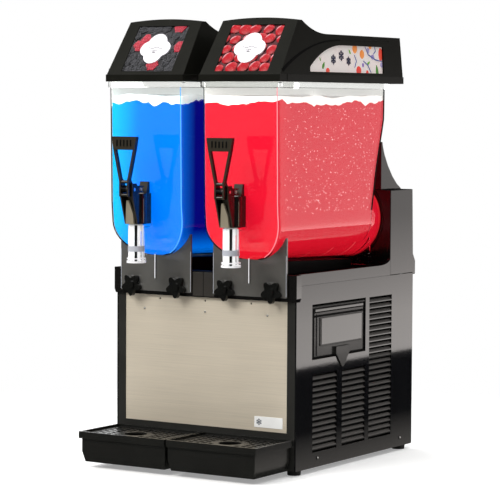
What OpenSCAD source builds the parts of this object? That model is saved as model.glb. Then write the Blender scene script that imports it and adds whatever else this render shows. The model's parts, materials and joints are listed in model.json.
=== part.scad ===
// Two-bowl counter-top slush machine. Millimetres, +Z up, front faces -Y.
// Inside each module Y = 0 is the face of the front columns; at() moves that
// frame so the origin ends up under the middle of the whole machine.

/* [Cabinet] */
// Width over the side panels
body_w = 394; // [388:1:400]
// Depth from the front columns to the back of the side panels
body_d = 436; // [432:1:445]
// Height of the rubber feet
foot_h = 10; // [8:1:12]
// Height of the seam between side panels and deck
seam_z = 343; // [340:1:346]
// Top surface of the deck
deck_z = 358; // [356:1:360]
// Height of the rear tower
tower_z = 506; // [500:1:512]
// Front face of the rear tower
tower_y = 345; // [344:1:347]
// Thickness of the moulded panels
skin = 3; // [2.5:0.5:3.5]

/* [Bowls] */
// Distance between the centres of the two bowls
bowl_pitch = 206; // [204:1:210]
// Outer width of one bowl
bowl_w = 162; // [160:1:166]
// Wall thickness of a bowl
bowl_wall = 3; // [2.5:0.5:3.5]
// Height of the bowl rim
rim_z = 709; // [700:1:715]
// Height of the auger axis
axis_z = 453; // [451:1:455]
// Outer radius of the auger blade
auger_r = 60; // [58:1:61]
// Pitch of the auger blade
auger_pitch = 118; // [100:2:140]

/* [Taps] */
// How far the tap axis stands in front of the columns
tap_y = -72; // [-74:1:-71]
// Lower end of the clear nozzle
nozzle_z = 378; // [374:1:382]
// Radius of the tap piston
piston_r = 11.95; // [11.9:0.01:11.97]

/* [Lids] */
// Height of the lid at the top of its sloping front
lid_top = 825; // [815:1:830]
// Height of the low rear part of the lid
lid_low = 797; // [790:1:800]
// Width of one lid at its rim
lid_w = 172; // [171:0.5:173]

/* [Tray] */
// How far the drip trays stand in front of the columns
tray_reach = 128; // [120:1:135]
// Top of the drip trays
tray_z = 67; // [64:1:70]

/* [Hidden] */
$fn = 48;

rear_reach = 446;
y_mid = (rear_reach - tray_reach) / 2;
half_w = body_w / 2;
back_y = body_d - 3;
xc = bowl_pitch / 2;
gap = 0.3;

// Side louvres: three openings, each as [front, length, number of slats], with slats on a common pitch
slat_pitch = 10.6;
louvre_low = 36;
louvre_columns = [[58, 87, 14], [164, 86, 14], [265, 87, 26]];

// Pocket for the control flap in the right side panel
flap_y = [55, 251];
flap_z = [206, 307];
flap_pivot = [half_w - 4, 301];
flap_pin_r = 1.45;

// Bowl profile
rim_drop = 11;
front_top = -46;
front_mid = [-42, 482];
front_low = [-39, axis_z + 2];
front_round = 42;
bowl_low = axis_z - 67;
foot_w = 68;
foot_z = 364;
trough_front = 67;
trough_rear = 77;
bowl_rear = 341;

// Tap
nozzle_r = 15;
sleeve_r = 19;
sleeve_low = 449.5;
nozzle_top = 468;
pivot = [-98, 513];
cross_z = pivot[1];
port_z = 452;
piston_low = 436;
piston_top = 470;
cap_z = 502;
running = 0.05;

// Lid
face_tilt = 35;
rim_top = 722;
face_foot = [-47, rim_top];
lid_y = [-49.5, 405.5];
side_taper = 5.5;
side_lean = atan(side_taper / (lid_top - rim_top));

function mirror_x(side) = side < 0 ? [1, 0, 0] : [0, 0, 0];
function arc(cx, cy, rx, ry, a0, a1, n) =
  [for (i = [0:n]) let (a = a0 + (a1 - a0) * i / n) [cx + rx * cos(a), cy + ry * sin(a)]];

// ---- helpers ----

module at() {
  translate([0, -y_mid, 0]) children();
}

// Builds for the right-hand side, or mirrored for the left (side = -1)
module on_side(side) {
  mirror(mirror_x(side)) children();
}

module box(x, y, z) {
  translate([x[0], y[0], z[0]]) cube([x[1] - x[0], y[1] - y[0], z[1] - z[0]]);
}

// Outline in Y and Z drawn through the width x[0]..x[1]
module slab_yz(x, outline) {
  translate([x[0], 0, 0]) rotate([90, 0, 90]) linear_extrude(x[1] - x[0]) polygon(outline);
}

// Outline in X and Z drawn through the depth y[0]..y[1]
module slab_xz(y, outline) {
  translate([0, y[1], 0]) rotate([90, 0, 0]) linear_extrude(y[1] - y[0]) polygon(outline);
}

module rod_x(x, y, z, r) {
  translate([x[0], y, z]) rotate([0, 90, 0]) cylinder(r = r, h = x[1] - x[0]);
}

module rod_y(x, y, z, r) {
  translate([x, y[0], z]) rotate([-90, 0, 0]) cylinder(r = r, h = y[1] - y[0]);
}

module cone_y(x, y, z, r0, r1) {
  translate([x, y[0], z]) rotate([-90, 0, 0]) cylinder(r1 = r0, r2 = r1, h = y[1] - y[0]);
}

module rod_z(x, y, z, r) {
  translate([x, y, z[0]]) cylinder(r = r, h = z[1] - z[0]);
}

module ring_y(x, y, z, r_out, r_in) {
  difference() {
    rod_y(x, y, z, r_out);
    rod_y(x, [y[0] - 1, y[1] + 1], z, r_in);
  }
}

// ---- cabinet ----

module base_pan() {
  color("dimgray") at() difference() {
    box([-half_w + skin, half_w - skin], [16, back_y], [foot_h, 34]);
    box([-half_w + skin + 2, half_w - skin - 2], [18, back_y - 2], [foot_h + 2, 40]);
    for (y = [60:40:380]) box([-150, -30], [y, y + 14], [foot_h - 1, foot_h + 3]);
  }
}

module rubber_feet() {
  color("#161616") at() for (x = [-181, 181], y = [21, 412])
    translate([x, y, 0]) cylinder(r1 = 12, r2 = 13, h = foot_h);
}

module louvre_cuts() {
  for (c = louvre_columns)
    box([half_w - skin - 2, half_w + 2], [c[0], c[0] + c[1]], [louvre_low, louvre_low + c[2] * slat_pitch - 5.2]);
}

// Sloping slats: each has a flush lower lip and leans in towards its top, clear of the next lip
module louvre_slats() {
  for (c = louvre_columns, i = [1:c[2] - 1]) translate([half_w, 0, louvre_low + i * slat_pitch - 5.6])
    slab_xz([c[0] - 1, c[0] + c[1] + 1], [[0, 0], [0, 1.6], [-4, 6.6], [-5.6, 6.6], [-2.2, 0]]);
}

module side_panel() {
  difference() {
    box([half_w - skin, half_w], [0, body_d], [foot_h - 1, seam_z]);
    louvre_cuts();
    box([half_w - skin - 2, half_w + 2], [-1, 12.5], [314.5, seam_z + 1]);
    for (y = [72, 384]) box([half_w - skin - 2, half_w + 2], [y, y + 3], [22, 29]);
  }
  louvre_slats();
  for (y = [17, back_y - 12]) box([half_w - 12, half_w - skin + 0.5], [y, y + 2], [36, seam_z - 4]);
}

// The right panel adds the shallow pocket and the two hinge pins of the control flap
module side_panel_right() {
  color("#2a2826") at() {
    difference() {
      side_panel();
      box([half_w - skin - 2, half_w + 2], flap_y, flap_z);
    }
    difference() {
      box([half_w - 16, half_w - skin], [flap_y[0] - 3, flap_y[1] + 3], [flap_z[0] - 3, flap_z[1] + 3]);
      box([half_w - 14, half_w + 1], flap_y, flap_z);
      box([half_w - 17, half_w], [82, 224], [222, 284]);
    }
    rod_y(flap_pivot[0], [flap_y[0] - 2, flap_y[0] + 6], flap_pivot[1], flap_pin_r);
    rod_y(flap_pivot[0], [flap_y[1] - 6, flap_y[1] + 2], flap_pivot[1], flap_pin_r);
  }
}

module side_panel_left() {
  color("#2a2826") at() on_side(-1) side_panel();
}

module front_frame() {
  color("#1b1a18") at() {
    difference() {
      box([-half_w + skin, half_w - skin], [0, 16], [foot_h, 314.5]);
      box([-177.5, 177.5], [-1, 3], [77.4, 320]);
      box([-168, 168], [-1, 17], [90, 300]);
    }
    for (s = [-1, 1], k = [-60, 60]) box([s * xc + k - 6, s * xc + k + 6], [-92, 2], [6.5, foot_h + 0.2]);
    for (s = [-1, 1], k = [-60, 60]) box([s * xc + k - 6, s * xc + k + 6], [0, 6], [6.5, 20]);
  }
}

module front_panel() {
  color("#c9bfac") at() difference() {
    box([-177.4, 177.4], [1, 3], [77.5, 314.5]);
    for (x = [-100, 0, 100]) rod_y(x, [0, 4], 308, 2);
  }
}

module rear_panel() {
  color("#77736c") at() difference() {
    box([-half_w + skin, half_w - skin], [back_y, back_y + 2], [foot_h + 2, seam_z - 4]);
    for (i = [0:15], x = [-80, 20]) box([x, x + 80], [back_y - 1, back_y + 3], [90 + i * 12, 95 + i * 12]);
    box([-165, -136], [back_y - 1, back_y + 3], [48, 70]);
  }
}

deck_rail = concat(
  [[12, seam_z + gap], [tower_y - gap, seam_z + gap]],
  arc(tower_y - gap - 42, 364 + 11, 42, 11, 0, -90, 8),
  [[12, 364]]);

module deck() {
  color("#201f1d") at() difference() {
    union() {
      box([-half_w, half_w], [4, tower_y - gap], [deck_z - 4, deck_z]);
      slab_xz([-5, 12], [[-200, 363], [-200, 322], [-half_w, 315], [half_w, 315], [200, 322], [200, 363]]);
      for (s = [-1, 1]) on_side(s) slab_yz([half_w - 7, half_w], deck_rail);
      box([-half_w + 7, half_w - 7], [330, tower_y - gap], [deck_z - 15, deck_z]);
      for (s = [-1, 1]) box([s * xc - foot_w, s * xc + foot_w], [304, 318], [deck_z - 1, foot_z]);
    }
    for (s = [-1, 1], k = [-knob_x, knob_x]) rod_y(s * xc + k, [-6, 10], knob_z, 3 + running);
    box([-half_w + skin, half_w - skin], [3, 9], [310, 322]);
    box([-60, 60], [40, 300], [deck_z - 2, deck_z + 1]);
  }
}

tower_profile = [[tower_y, seam_z + gap], [436, seam_z + gap], [436, 340], [446, 340], [446, 366],
  [437, 380], [433, tower_z], [tower_y, tower_z]];

module tower_cover() {
  color("#201f1d") at() difference() {
    slab_yz([-half_w, half_w], tower_profile);
    slab_yz([-half_w + skin, half_w - skin], [[tower_y + skin, 300], [433, 300], [433, 380],
      [429.5, tower_z - skin], [tower_y + skin, tower_z - skin]]);
    for (s = [-1, 1]) rod_y(s * xc, [tower_y - 1, tower_y + skin + 1], axis_z, 16);
    for (i = [0:5]) box([-70, 70], [420, 450], [400 + i * 14, 406 + i * 14]);
  }
}

brace_curve = [[352, 598], [354, 590], [360, 575], [374, 553], [392, 532], [410, 517], [429, tower_z + gap]];
brace_outer = concat([[347.5, tower_z + gap], [347.5, 598]], brace_curve);
brace_inner = [[350, 500], [350, 592], [352, 586], [358, 572], [372, 550], [390, 529], [407, 514], [420, 500]];

module rear_brace() {
  color("#2b2a28") at() for (s = [-1, 1]) on_side(s) difference() {
    slab_yz([xc - 70, xc + 71], brace_outer);
    slab_yz([xc - 68, xc + 69], brace_inner);
  }
}

// ---- cooling system ----

module compressor() {
  color("#1c1f22") at() translate([-85, 300, 0]) {
    rotate_extrude() polygon(concat([[0, 28], [72, 28]], arc(0, 170, 72, 34, 0, 90, 12)));
    for (a = [45:90:315]) rotate([0, 0, a]) {
      translate([60, -14, 30]) cube([40, 28, 5]);
      rod_z(88, 0, [foot_h + 2, 32], 10);
    }
    rod_z(40, 0, [180, 226], 5);
    translate([-24, 60, 80]) cube([48, 32, 50]);
  }
}

module condenser() {
  color("#8e9296") at() {
    box([100, 104], [60, 262], [12, 200]);
    box([160, 164], [60, 262], [12, 200]);
    for (i = [0:18]) box([103, 161], [70 + i * 10, 71 + i * 10], [18, 196]);
    for (z = [36:36:180]) rod_y(132, [62, 260], z, 4);
  }
}

module fan_frame() {
  color("#26282a") at() {
    difference() {
      box([64, 74], [70, 252], [12, 196]);
      rod_x([60, 80], 161, 105, 82);
    }
    rod_x([30, 64], 161, 105, 24);
    rod_x([62, 72], 161, 105, 4 - running);
    for (a = [0, 90]) translate([66, 161, 105]) rotate([a, 0, 0]) translate([-4, -84, -5]) cube([3, 168, 10]);
  }
}

module fan_blade() {
  color("#b9bcbe") at() translate([0, 161, 105]) {
    difference() {
      rod_x([67, 94], 0, 0, 18);
      rod_x([66, 74], 0, 0, 4);
    }
    for (i = [0:4]) rotate([72 * i, 0, 0]) translate([70, -9, 15]) rotate([0, 0, -24]) cube([3, 26, 58]);
  }
}

// ---- drive and freezing drum ----

module gear_motor() {
  difference() {
    union() {
      box([xc - 44, xc + 44], [tower_y + skin, 392], [axis_z - 48, axis_z + 44]);
      rod_y(xc, [391, 427], axis_z - 6, 34);
      rod_y(xc, [tower_y, tower_y + skin + 1], axis_z, 15.8);
    }
    rod_y(xc, [344, 386], axis_z, 8 + running);
  }
}

module evaporator() {
  difference() {
    union() {
      rod_y(xc, [45, 330], axis_z, 49);
      rod_y(xc, [328, tower_y - gap], axis_z, 65);
    }
    difference() {
      rod_y(xc, [47, tower_y + 1], axis_z, 47);
      rod_y(xc, [46, tower_y + 2], axis_z, 12);
    }
    rod_y(xc, [44, tower_y + 1], axis_z, 8 + running);
  }
}

module auger_shaft() {
  rod_y(xc, [22, 384], axis_z, 8);
}

blade_in = 52;
blade_t = 5;
blade_y = [46, 322];
blade_steps = 84;
function blade_ring(i) =
  let (y = blade_y[0] + (blade_y[1] - blade_y[0]) * i / blade_steps, a = 360 * (y - blade_y[0]) / auger_pitch)
  [for (c = [[blade_in, 0], [auger_r, 0], [auger_r, blade_t], [blade_in, blade_t]])
    [c[0] * cos(a), y + c[1], c[0] * sin(a)]];
blade_points = [for (i = [0:blade_steps]) each blade_ring(i)];
blade_faces = concat([[0, 1, 2, 3]],
  [for (i = [0:blade_steps - 1], k = [0:3]) [4 * i + k, 4 * i + 4 + k, 4 * i + 4 + (k + 1) % 4, 4 * i + (k + 1) % 4]],
  [[for (k = [3:-1:0]) 4 * blade_steps + k]]);

// Spiral scraper: a front hub on the shaft, two spokes and one long blade
module auger(dir) {
  translate([xc, 0, axis_z]) {
    mirror([dir < 0 ? 1 : 0, 0, 0]) polyhedron(blade_points, blade_faces, convexity = 6);
    difference() {
      union() {
        rod_y(0, [18, 42], 0, 16);
        box([-auger_r + 1, auger_r - 1], [26, 38], [-5, 5]);
        for (s = [-1, 1]) box([s * 55.5 - 3.5, s * 55.5 + 3.5], [26, 52], [-5, 5]);
      }
      rod_y(0, [17, 43], 0, 8);
    }
  }
}

module bowl_gaskets() {
  color("#8a8d8f") at() for (s = [-1, 1]) ring_y(s * xc, [331, bowl_rear], axis_z, 73.4, 65);
}

// ---- bowls ----

// Outer form of one bowl, or its inside when t is the wall thickness
module bowl_form(t) {
  half = bowl_w / 2 - t;
  top = rim_z + 30 * t;
  translate([xc, 0, 0]) intersection() {
    slab_xz([-60, 400], concat([[-half, top]], arc(0, axis_z, half, 67 - t, 180, 360, 32), [[half, top]]));
    slab_yz([-100, 100], concat([[front_top + t, top], [front_mid[0] + t, front_mid[1]]],
      arc(front_low[0] + front_round, front_low[1], front_round - t, front_low[1] - bowl_low - t, 180, 270, 10),
      [[300, bowl_low + t], [300 - t, 470], [308 - t, 503], [315 - t, 541], [330 - t, 594],
       [344 - t, 640], [345 - t, top]]));
  }
  cone_y(xc, [22, bowl_rear + t], axis_z, trough_front - t, trough_rear - t);
}

module bowl() {
  difference() {
    union() {
      bowl_form(0);
      box([xc - bowl_w / 2 - 6, xc + bowl_w / 2 + 4.8], [front_top - 2, 355], [rim_z - rim_drop, rim_z - gap]);
      slab_xz([308, 313], [[xc - foot_w + 6, foot_z], [xc + foot_w - 6, foot_z], [xc + foot_w, foot_z + 10],
        [xc + foot_w, 432], [xc - foot_w, 432], [xc - foot_w, foot_z + 10]]);
    }
    bowl_form(bowl_wall);
    rod_y(xc, [-52, -24], port_z, 11);
  }
}

// Plate that hangs over the front of the deck and holds the bowl back
plate_half = 78.5;
plate_low = 322;

module clamp_plate() {
  difference() {
    union() {
      box([xc - plate_half, xc + plate_half], [-10, -6], [plate_low, 430]);
      box([xc - 1, xc + 1], [-12, -9], [345, 392]);
    }
    translate([xc, 0, axis_z]) scale(1.004) translate([-xc, 0, -axis_z]) bowl_form(0);
    for (k = [-knob_x, knob_x]) rod_y(xc + k, [-11, -5], knob_z, 3.5);
  }
}

knob_z = 332;
knob_x = 50;
knob_reach = 20.8;
knob_waist = 12.8;
knob_mid = (knob_reach + knob_waist) / 2;
knob_star = [for (i = [0:59]) let (a = 6 * i, r = knob_mid + (knob_reach - knob_mid) * cos(5 * (a + 90)))
  [r * cos(a), r * sin(a)]];

// Five-lobed knob with its stud
module clamp_knob(i) {
  x = [-xc - knob_x, -xc + knob_x, xc - knob_x, xc + knob_x][i];
  color("#141312") at() {
    rod_y(x, [-22.5, -10.3], knob_z, 8);
    translate([x, 0, knob_z]) slab_xz([-20, -11.5], knob_star);
    rod_y(x, [-11, 8], knob_z, 3);
  }
}

// ---- taps ----

module tap_nozzle() {
  difference() {
    union() {
      rod_z(xc, tap_y, [nozzle_z, nozzle_top], nozzle_r);
      translate([xc, tap_y, nozzle_z]) cylinder(r1 = 17.8, r2 = 17, h = 9);
      rod_y(xc, [tap_y + 12.5, -34], port_z, 10.9);
    }
    rod_z(xc, tap_y, [nozzle_z - 1, nozzle_top + 1], 12);
    rod_y(xc, [tap_y, -30], port_z, 8);
  }
}

module tap_body() {
  difference() {
    union() {
      rod_z(xc, tap_y, [sleeve_low, cap_z + 3], sleeve_r);
      slab_yz([xc - 9, xc + 9], [[-54, sleeve_low], [-39.6, sleeve_low], [-42.4, 482], [-43.2, 526], [-48, 526],
        [-54, cap_z]]);
      box([xc - 14.5, xc + 14.5], [-60, -48], [sleeve_low, cap_z]);
      for (s = [-1, 1]) slab_yz([xc + s * 13 - 1.5, xc + s * 13 + 1.5],
        [[-80, sleeve_low], [-88, sleeve_low], [-104, 500], [-104, 524], [-92, 524], [-84, cap_z + 3],
         [-46, cap_z + 3], [-46, sleeve_low]]);
    }
    rod_z(xc, tap_y, [sleeve_low - 1, nozzle_top + 0.4], nozzle_r + 0.2);
    rod_z(xc, tap_y, [nozzle_top, cap_z], piston_r + 0.35);
    rod_z(xc, tap_y, [cap_z - 1, cap_z + 4], 4 + running);
    rod_y(xc, [tap_y, -20], port_z, 11.2);
    rod_x([xc - 16, xc + 16], pivot[0], pivot[1], 3);
  }
}

// Forked lever: paddle, two legs, two cross bars and two slotted arms
module tap_handle() {
  for (s = [-1, 1]) {
    difference() {
      slab_yz([xc + s * 8.75 - 1.75, xc + s * 8.75 + 1.75], [[-112, 500], [-104, 500], [-92, 506],
        [tap_y + 8, 507], [tap_y + 8, 519], [-96, 520], [-104, 532], [-112, 532]]);
      rod_x([xc - 16, xc + 16], pivot[0], pivot[1], 3 + running);
      box([xc - 12, xc + 12], [tap_y - 4.5, tap_y + 10], [cross_z - 3.2, cross_z + 3.2]);
    }
    hull() {
      box([xc + s * 8.75 - 1.75, xc + s * 8.75 + 1.75], [-111.5, -104.5], [526, 530]);
      box([xc + s * 21.5 - 2, xc + s * 21.5 + 2], [-111.5, -104.5], [584, 587]);
    }
  }
  hull() {
    box([xc - 23.5, xc + 23.5], [-112, -104], [585, 588]);
    box([xc - 27, xc + 27], [-112, -104], [606, 609]);
  }
  for (z = [503, 527]) rod_x([xc - 10.5, xc + 10.5], -108, z, 3);
}

module tap_piston() {
  rod_z(xc, tap_y, [piston_low, piston_top], piston_r);
  rod_z(xc, tap_y, [piston_top, cross_z + 5], 4);
  rod_x([xc - 11, xc + 11], tap_y, cross_z, 2.2);
  box([xc - 6, xc + 6], [tap_y - 5, tap_y + 5], [cross_z - 4, cross_z + 5]);
}

spring_r = 8;
spring_wire = 1;
spring_z = [piston_top + 1.2, cap_z - 1.2];
spring_turns = 5;
spring_steps = 20 * spring_turns;
spring_sides = 6;
spring_points = [for (i = [0:spring_steps], k = [0:spring_sides - 1])
  let (a = 360 * spring_turns * i / spring_steps, b = 360 * k / spring_sides, r = spring_r + spring_wire * cos(b))
  [r * cos(a), r * sin(a), spring_z[0] + (spring_z[1] - spring_z[0]) * i / spring_steps + spring_wire * sin(b)]];
spring_faces = concat([[for (k = [0:spring_sides - 1]) k]],
  [for (i = [0:spring_steps - 1], k = [0:spring_sides - 1]) let (n = (k + 1) % spring_sides, b = i * spring_sides)
    [b + n, b + k, b + spring_sides + k, b + spring_sides + n]],
  [[for (k = [spring_sides - 1:-1:0]) spring_steps * spring_sides + k]]);

module tap_spring() {
  translate([xc, tap_y, 0]) polyhedron(spring_points, spring_faces, convexity = 8);
}

module tap_pins() {
  color("#b4b4b0") at() for (s = [-1, 1]) rod_x([s * xc - 14.5, s * xc + 14.5], pivot[0], pivot[1], 3);
}

// ---- lids ----

// Height of the hollow top behind the sloping front, t inside the outer face
crown_y = 28;
hollow_len = 96;
function lid_crown(y, t) =
  lid_top - 1 - t - (lid_top - lid_low - 1) * (1 - pow(1 - (y - crown_y) / hollow_len, 2.2));

// Side outline of the lid, t inside its outer face, from a chosen lower edge
function lid_profile(t, low) = concat(
  [[face_foot[0] + t, low], [face_foot[0] + t / cos(face_tilt), face_foot[1]]],
  [[face_foot[0] + (lid_top - face_foot[1] - t) * tan(face_tilt) + t / cos(face_tilt), lid_top - t]],
  [for (y = [crown_y:hollow_len / 10:crown_y + hollow_len + 0.1]) [y, lid_crown(min(y, crown_y + hollow_len), t)]],
  [[lid_y[1] - 8 - t, lid_low - t], [lid_y[1] - 2 - t, low]]);

// Front outline of the lid: sides that lean in and a gently arched top
function lid_section(t, low) = let (w = lid_w / 2 - 0.5 - t, n = w - side_taper) concat(
  [[-w, low], [-w, rim_top]],
  [for (i = [0:10]) let (u = i / 5 - 1) [n * u, lid_top - t - 5 * u * u]],
  [[w, rim_top], [w, low]]);

module lid_form(t, low) {
  translate([xc, 0, 0]) intersection() {
    slab_yz([-100, 100], lid_profile(t, low));
    slab_xz([-60, 420], lid_section(t, low - 5));
  }
}

// Places a flat piece on the sloping front of the lid: x across, z up the slope
module on_face() {
  translate([xc, face_foot[0], face_foot[1]]) rotate([-face_tilt, 0, 0]) children();
}

// Places a piece on the leaning outer side of the lid, with x = 0 on its surface
module on_lid_side() {
  translate([xc + lid_w / 2 - 0.5, 0, rim_top]) rotate([0, -side_lean, 0]) children();
}

// Side window: flat foot, upright rear end and one long round shoulder; e widens it
function window(e) = concat([[57 - e, 6 - e], [329 + e, 6 - e], [329 + e, 56 + e]],
  arc(178, 56 - 197, 197 + e, 197 + e, 90, 127, 10), [[57 - e, 14]]);

// Styling groove that sweeps from the front edge over the window
groove = concat(arc(168, 66 - 418, 418, 418, 120, 90, 10), [[352, 68], [352, 66]],
  arc(168, 66 - 418, 415.5, 415.5, 90, 120, 10));

module lid() {
  difference() {
    union() {
      lid_form(0, rim_top - 2);
      box([xc - lid_w / 2, xc + lid_w / 2], lid_y, [rim_z, rim_top]);
    }
    lid_form(skin, rim_z - 20);
    on_face() translate([-56, -6, 7]) cube([112, 16, 103]);
    on_lid_side() slab_yz([-12, 5], window(0));
    on_lid_side() slab_yz([-1.2, 5], groove);
    box([xc + lid_w / 2 - 1, xc + lid_w / 2 + 1], [lid_y[0] + 24, lid_y[0] + 26], [rim_z - 1, rim_top + 1]);
  }
}

module front_display() {
  on_face() translate([-59, skin + 0.3, 4]) cube([118, 2.5, 109]);
}

module side_display() {
  on_lid_side() slab_yz([-skin - 2.3, -skin - 0.3], window(3));
}

module lid_lamp() {
  box([xc - 60, xc + 60], [44, 56], [782, 785]);
  for (i = [-4:4]) box([xc + i * 13 - 2.5, xc + i * 13 + 2.5], [47.5, 52.5], [780.5, 782.5]);
  for (k = [-40, 40]) slab_yz([xc + k - 3, xc + k + 3],
    [[46, 784], [52, 784], [52, lid_crown(52, skin)], [46, lid_crown(46, skin)]]);
}

// ---- drip trays ----

tray_x = [2, 192.5];
tray_y = [-tray_reach, -3];

module drip_tray() {
  difference() {
    union() {
      box(tray_x, tray_y, [tray_z - 13, tray_z]);
      hull() {
        box([tray_x[0] + 1, tray_x[1] - 4.5], [tray_y[0] + 4.5, tray_y[1]], [30, tray_z - 12]);
        box([tray_x[0] + 5, tray_x[1] - 9], [tray_y[0] + 9, tray_y[1] - 4], [foot_h + 0.5, 20]);
      }
    }
    box([tray_x[0] + 5, tray_x[1] - 8], [tray_y[0] + 8, tray_y[1] - 4], [16, tray_z - 7.8]);
    box([tray_x[0] + 3, tray_x[1] - 3.5], [tray_y[0] + 3.5, tray_y[1] - 2.5], [tray_z - 8, tray_z + 1]);
  }
}

grille_x = [tray_x[0] + 4, tray_x[1] - 4.5];
grille_y = [tray_y[0] + 4.5, tray_y[1] - 3.5];

module drip_grille() {
  difference() {
    box(grille_x, grille_y, [tray_z - 7.5, tray_z - 4.5]);
    rod_z(xc, tap_y, [tray_z - 9, tray_z], 21);
    for (i = [0:11], j = [0:6]) {
      x = grille_x[0] + 9 + 14 * i;
      y = grille_y[0] + 8 + 15 * j;
      if (norm([x + 4.5 - xc, y + 4.5 - tap_y]) > 30) box([x, x + 10], [y, y + 11], [tray_z - 9, tray_z]);
    }
  }
}

// ---- controls ----

module control_flap() {
  color("#3a3836") at() {
    difference() {
      union() {
        box([half_w - 6, half_w - 2.5], [flap_y[0] + 1, flap_y[1] - 1], [flap_z[0] + 2, flap_pivot[1]]);
        slab_yz([half_w - 3, half_w - 1], [[86, 229], [240, 229], [240, 281], [86, 281]]);
        box([half_w - 3, half_w + 2.6], [138, 187], [210, 224]);
        slab_yz([half_w + 0.4, half_w + 2.6], [[138, 224], [187, 224], [187, 212], [166, 185], [160, 185], [138, 212]]);
        rod_y(flap_pivot[0], [flap_y[0] + 1, flap_y[1] - 1], flap_pivot[1], 3.2);
      }
      rod_y(flap_pivot[0], [flap_y[0], flap_y[1]], flap_pivot[1], flap_pin_r + running);
    }
  }
}

module control_panel() {
  color("#4a4a48") at() difference() {
    box([half_w - 20.3, half_w - 16.3], [66, 240], [214, 298]);
    for (y = [104, 146, 188]) box([half_w - 22, half_w - 15], [y, y + 22], [236, 270]);
  }
}

module rocker(y) {
  at() {
    rod_y(half_w - 18, [y + 0.5, y + 21.5], 253, 4);
    slab_xz([y + 0.5, y + 21.5], [[half_w - 20, 237.5], [half_w - 13.4, 237.5], [half_w - 15.6, 253],
      [half_w - 13.4, 268.5], [half_w - 20, 268.5]]);
  }
}

module power_switch() {
  color("#2f8f3a") rocker(104);
}

module mode_switch_left() {
  color("#1e1e1e") rocker(146);
}

module mode_switch_right() {
  color("#1e1e1e") rocker(188);
}

module power_inlet() {
  color("#151515") at() difference() {
    box([-164.5, -136.5], [412, 437], [48.5, 69.5]);
    box([-160, -141], [420, 438], [52, 66]);
  }
}

// One bowl's worth of parts on the right (1) or mirrored to the left (-1)
module bowl_side(side, paint) {
  color(paint) at() on_side(side) children();
}

base_pan();
rubber_feet();
side_panel_left();
side_panel_right();
front_frame();
front_panel();
rear_panel();
deck();
tower_cover();
rear_brace();
compressor();
condenser();
fan_frame();
fan_blade();
bowl_side(-1, "#5c6166") gear_motor();  // gear_motor_left
bowl_side(1, "#5c6166") gear_motor();  // gear_motor_right
bowl_side(-1, "#c4c7c9") evaporator();  // evaporator_left
bowl_side(1, "#c4c7c9") evaporator();  // evaporator_right
bowl_side(-1, "#aeb2b5") auger_shaft();  // auger_shaft_left
bowl_side(1, "#aeb2b5") auger_shaft();  // auger_shaft_right
bowl_side(-1, "#e8e8e4") auger(-1);  // auger_left
bowl_side(1, "#e8e8e4") auger(1);  // auger_right
bowl_side(-1, "#d8eaf266") bowl();  // bowl_left
bowl_side(1, "#d8eaf266") bowl();  // bowl_right
bowl_gaskets();
bowl_side(-1, "#5a5a56") clamp_plate();  // clamp_plate_left
bowl_side(1, "#5a5a56") clamp_plate();  // clamp_plate_right
clamp_knob(0);  // clamp_knob_1
clamp_knob(1);  // clamp_knob_2
clamp_knob(2);  // clamp_knob_3
clamp_knob(3);  // clamp_knob_4
bowl_side(-1, "#1c1816") tap_body();  // tap_body_left
bowl_side(1, "#1c1816") tap_body();  // tap_body_right
bowl_side(-1, "#e4eef2") tap_nozzle();  // tap_nozzle_left
bowl_side(1, "#e4eef2") tap_nozzle();  // tap_nozzle_right
bowl_side(-1, "#241f1b") tap_handle();  // tap_handle_left
bowl_side(1, "#241f1b") tap_handle();  // tap_handle_right
bowl_side(-1, "#d0d0cc") tap_piston();  // tap_piston_left
bowl_side(1, "#d0d0cc") tap_piston();  // tap_piston_right
bowl_side(-1, "#b8bcbf") tap_spring();  // tap_spring_left
bowl_side(1, "#b8bcbf") tap_spring();  // tap_spring_right
tap_pins();
bowl_side(-1, "#22201e") lid();  // lid_left
bowl_side(1, "#22201e") lid();  // lid_right
bowl_side(-1, "#d8d8e0") front_display();  // front_display_left
bowl_side(1, "#d8d8e0") front_display();  // front_display_right
bowl_side(-1, "#f0ece4") side_display();  // side_display_left
bowl_side(1, "#f0ece4") side_display();  // side_display_right
bowl_side(-1, "#f4f4ec") lid_lamp();  // lid_lamp_left
bowl_side(1, "#f4f4ec") lid_lamp();  // lid_lamp_right
bowl_side(-1, "#1d1c1a") drip_tray();  // drip_tray_left
bowl_side(1, "#1d1c1a") drip_tray();  // drip_tray_right
bowl_side(-1, "#8b8b86") drip_grille();  // drip_grille_left
bowl_side(1, "#8b8b86") drip_grille();  // drip_grille_right
control_flap();
control_panel();
power_switch();
mode_switch_left();
mode_switch_right();
power_inlet();
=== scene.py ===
"""Looks of a two-bowl slush machine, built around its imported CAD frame."""
import json
import math
import random

import bmesh
import bpy
from mathutils import Matrix, Vector, noise


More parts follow.
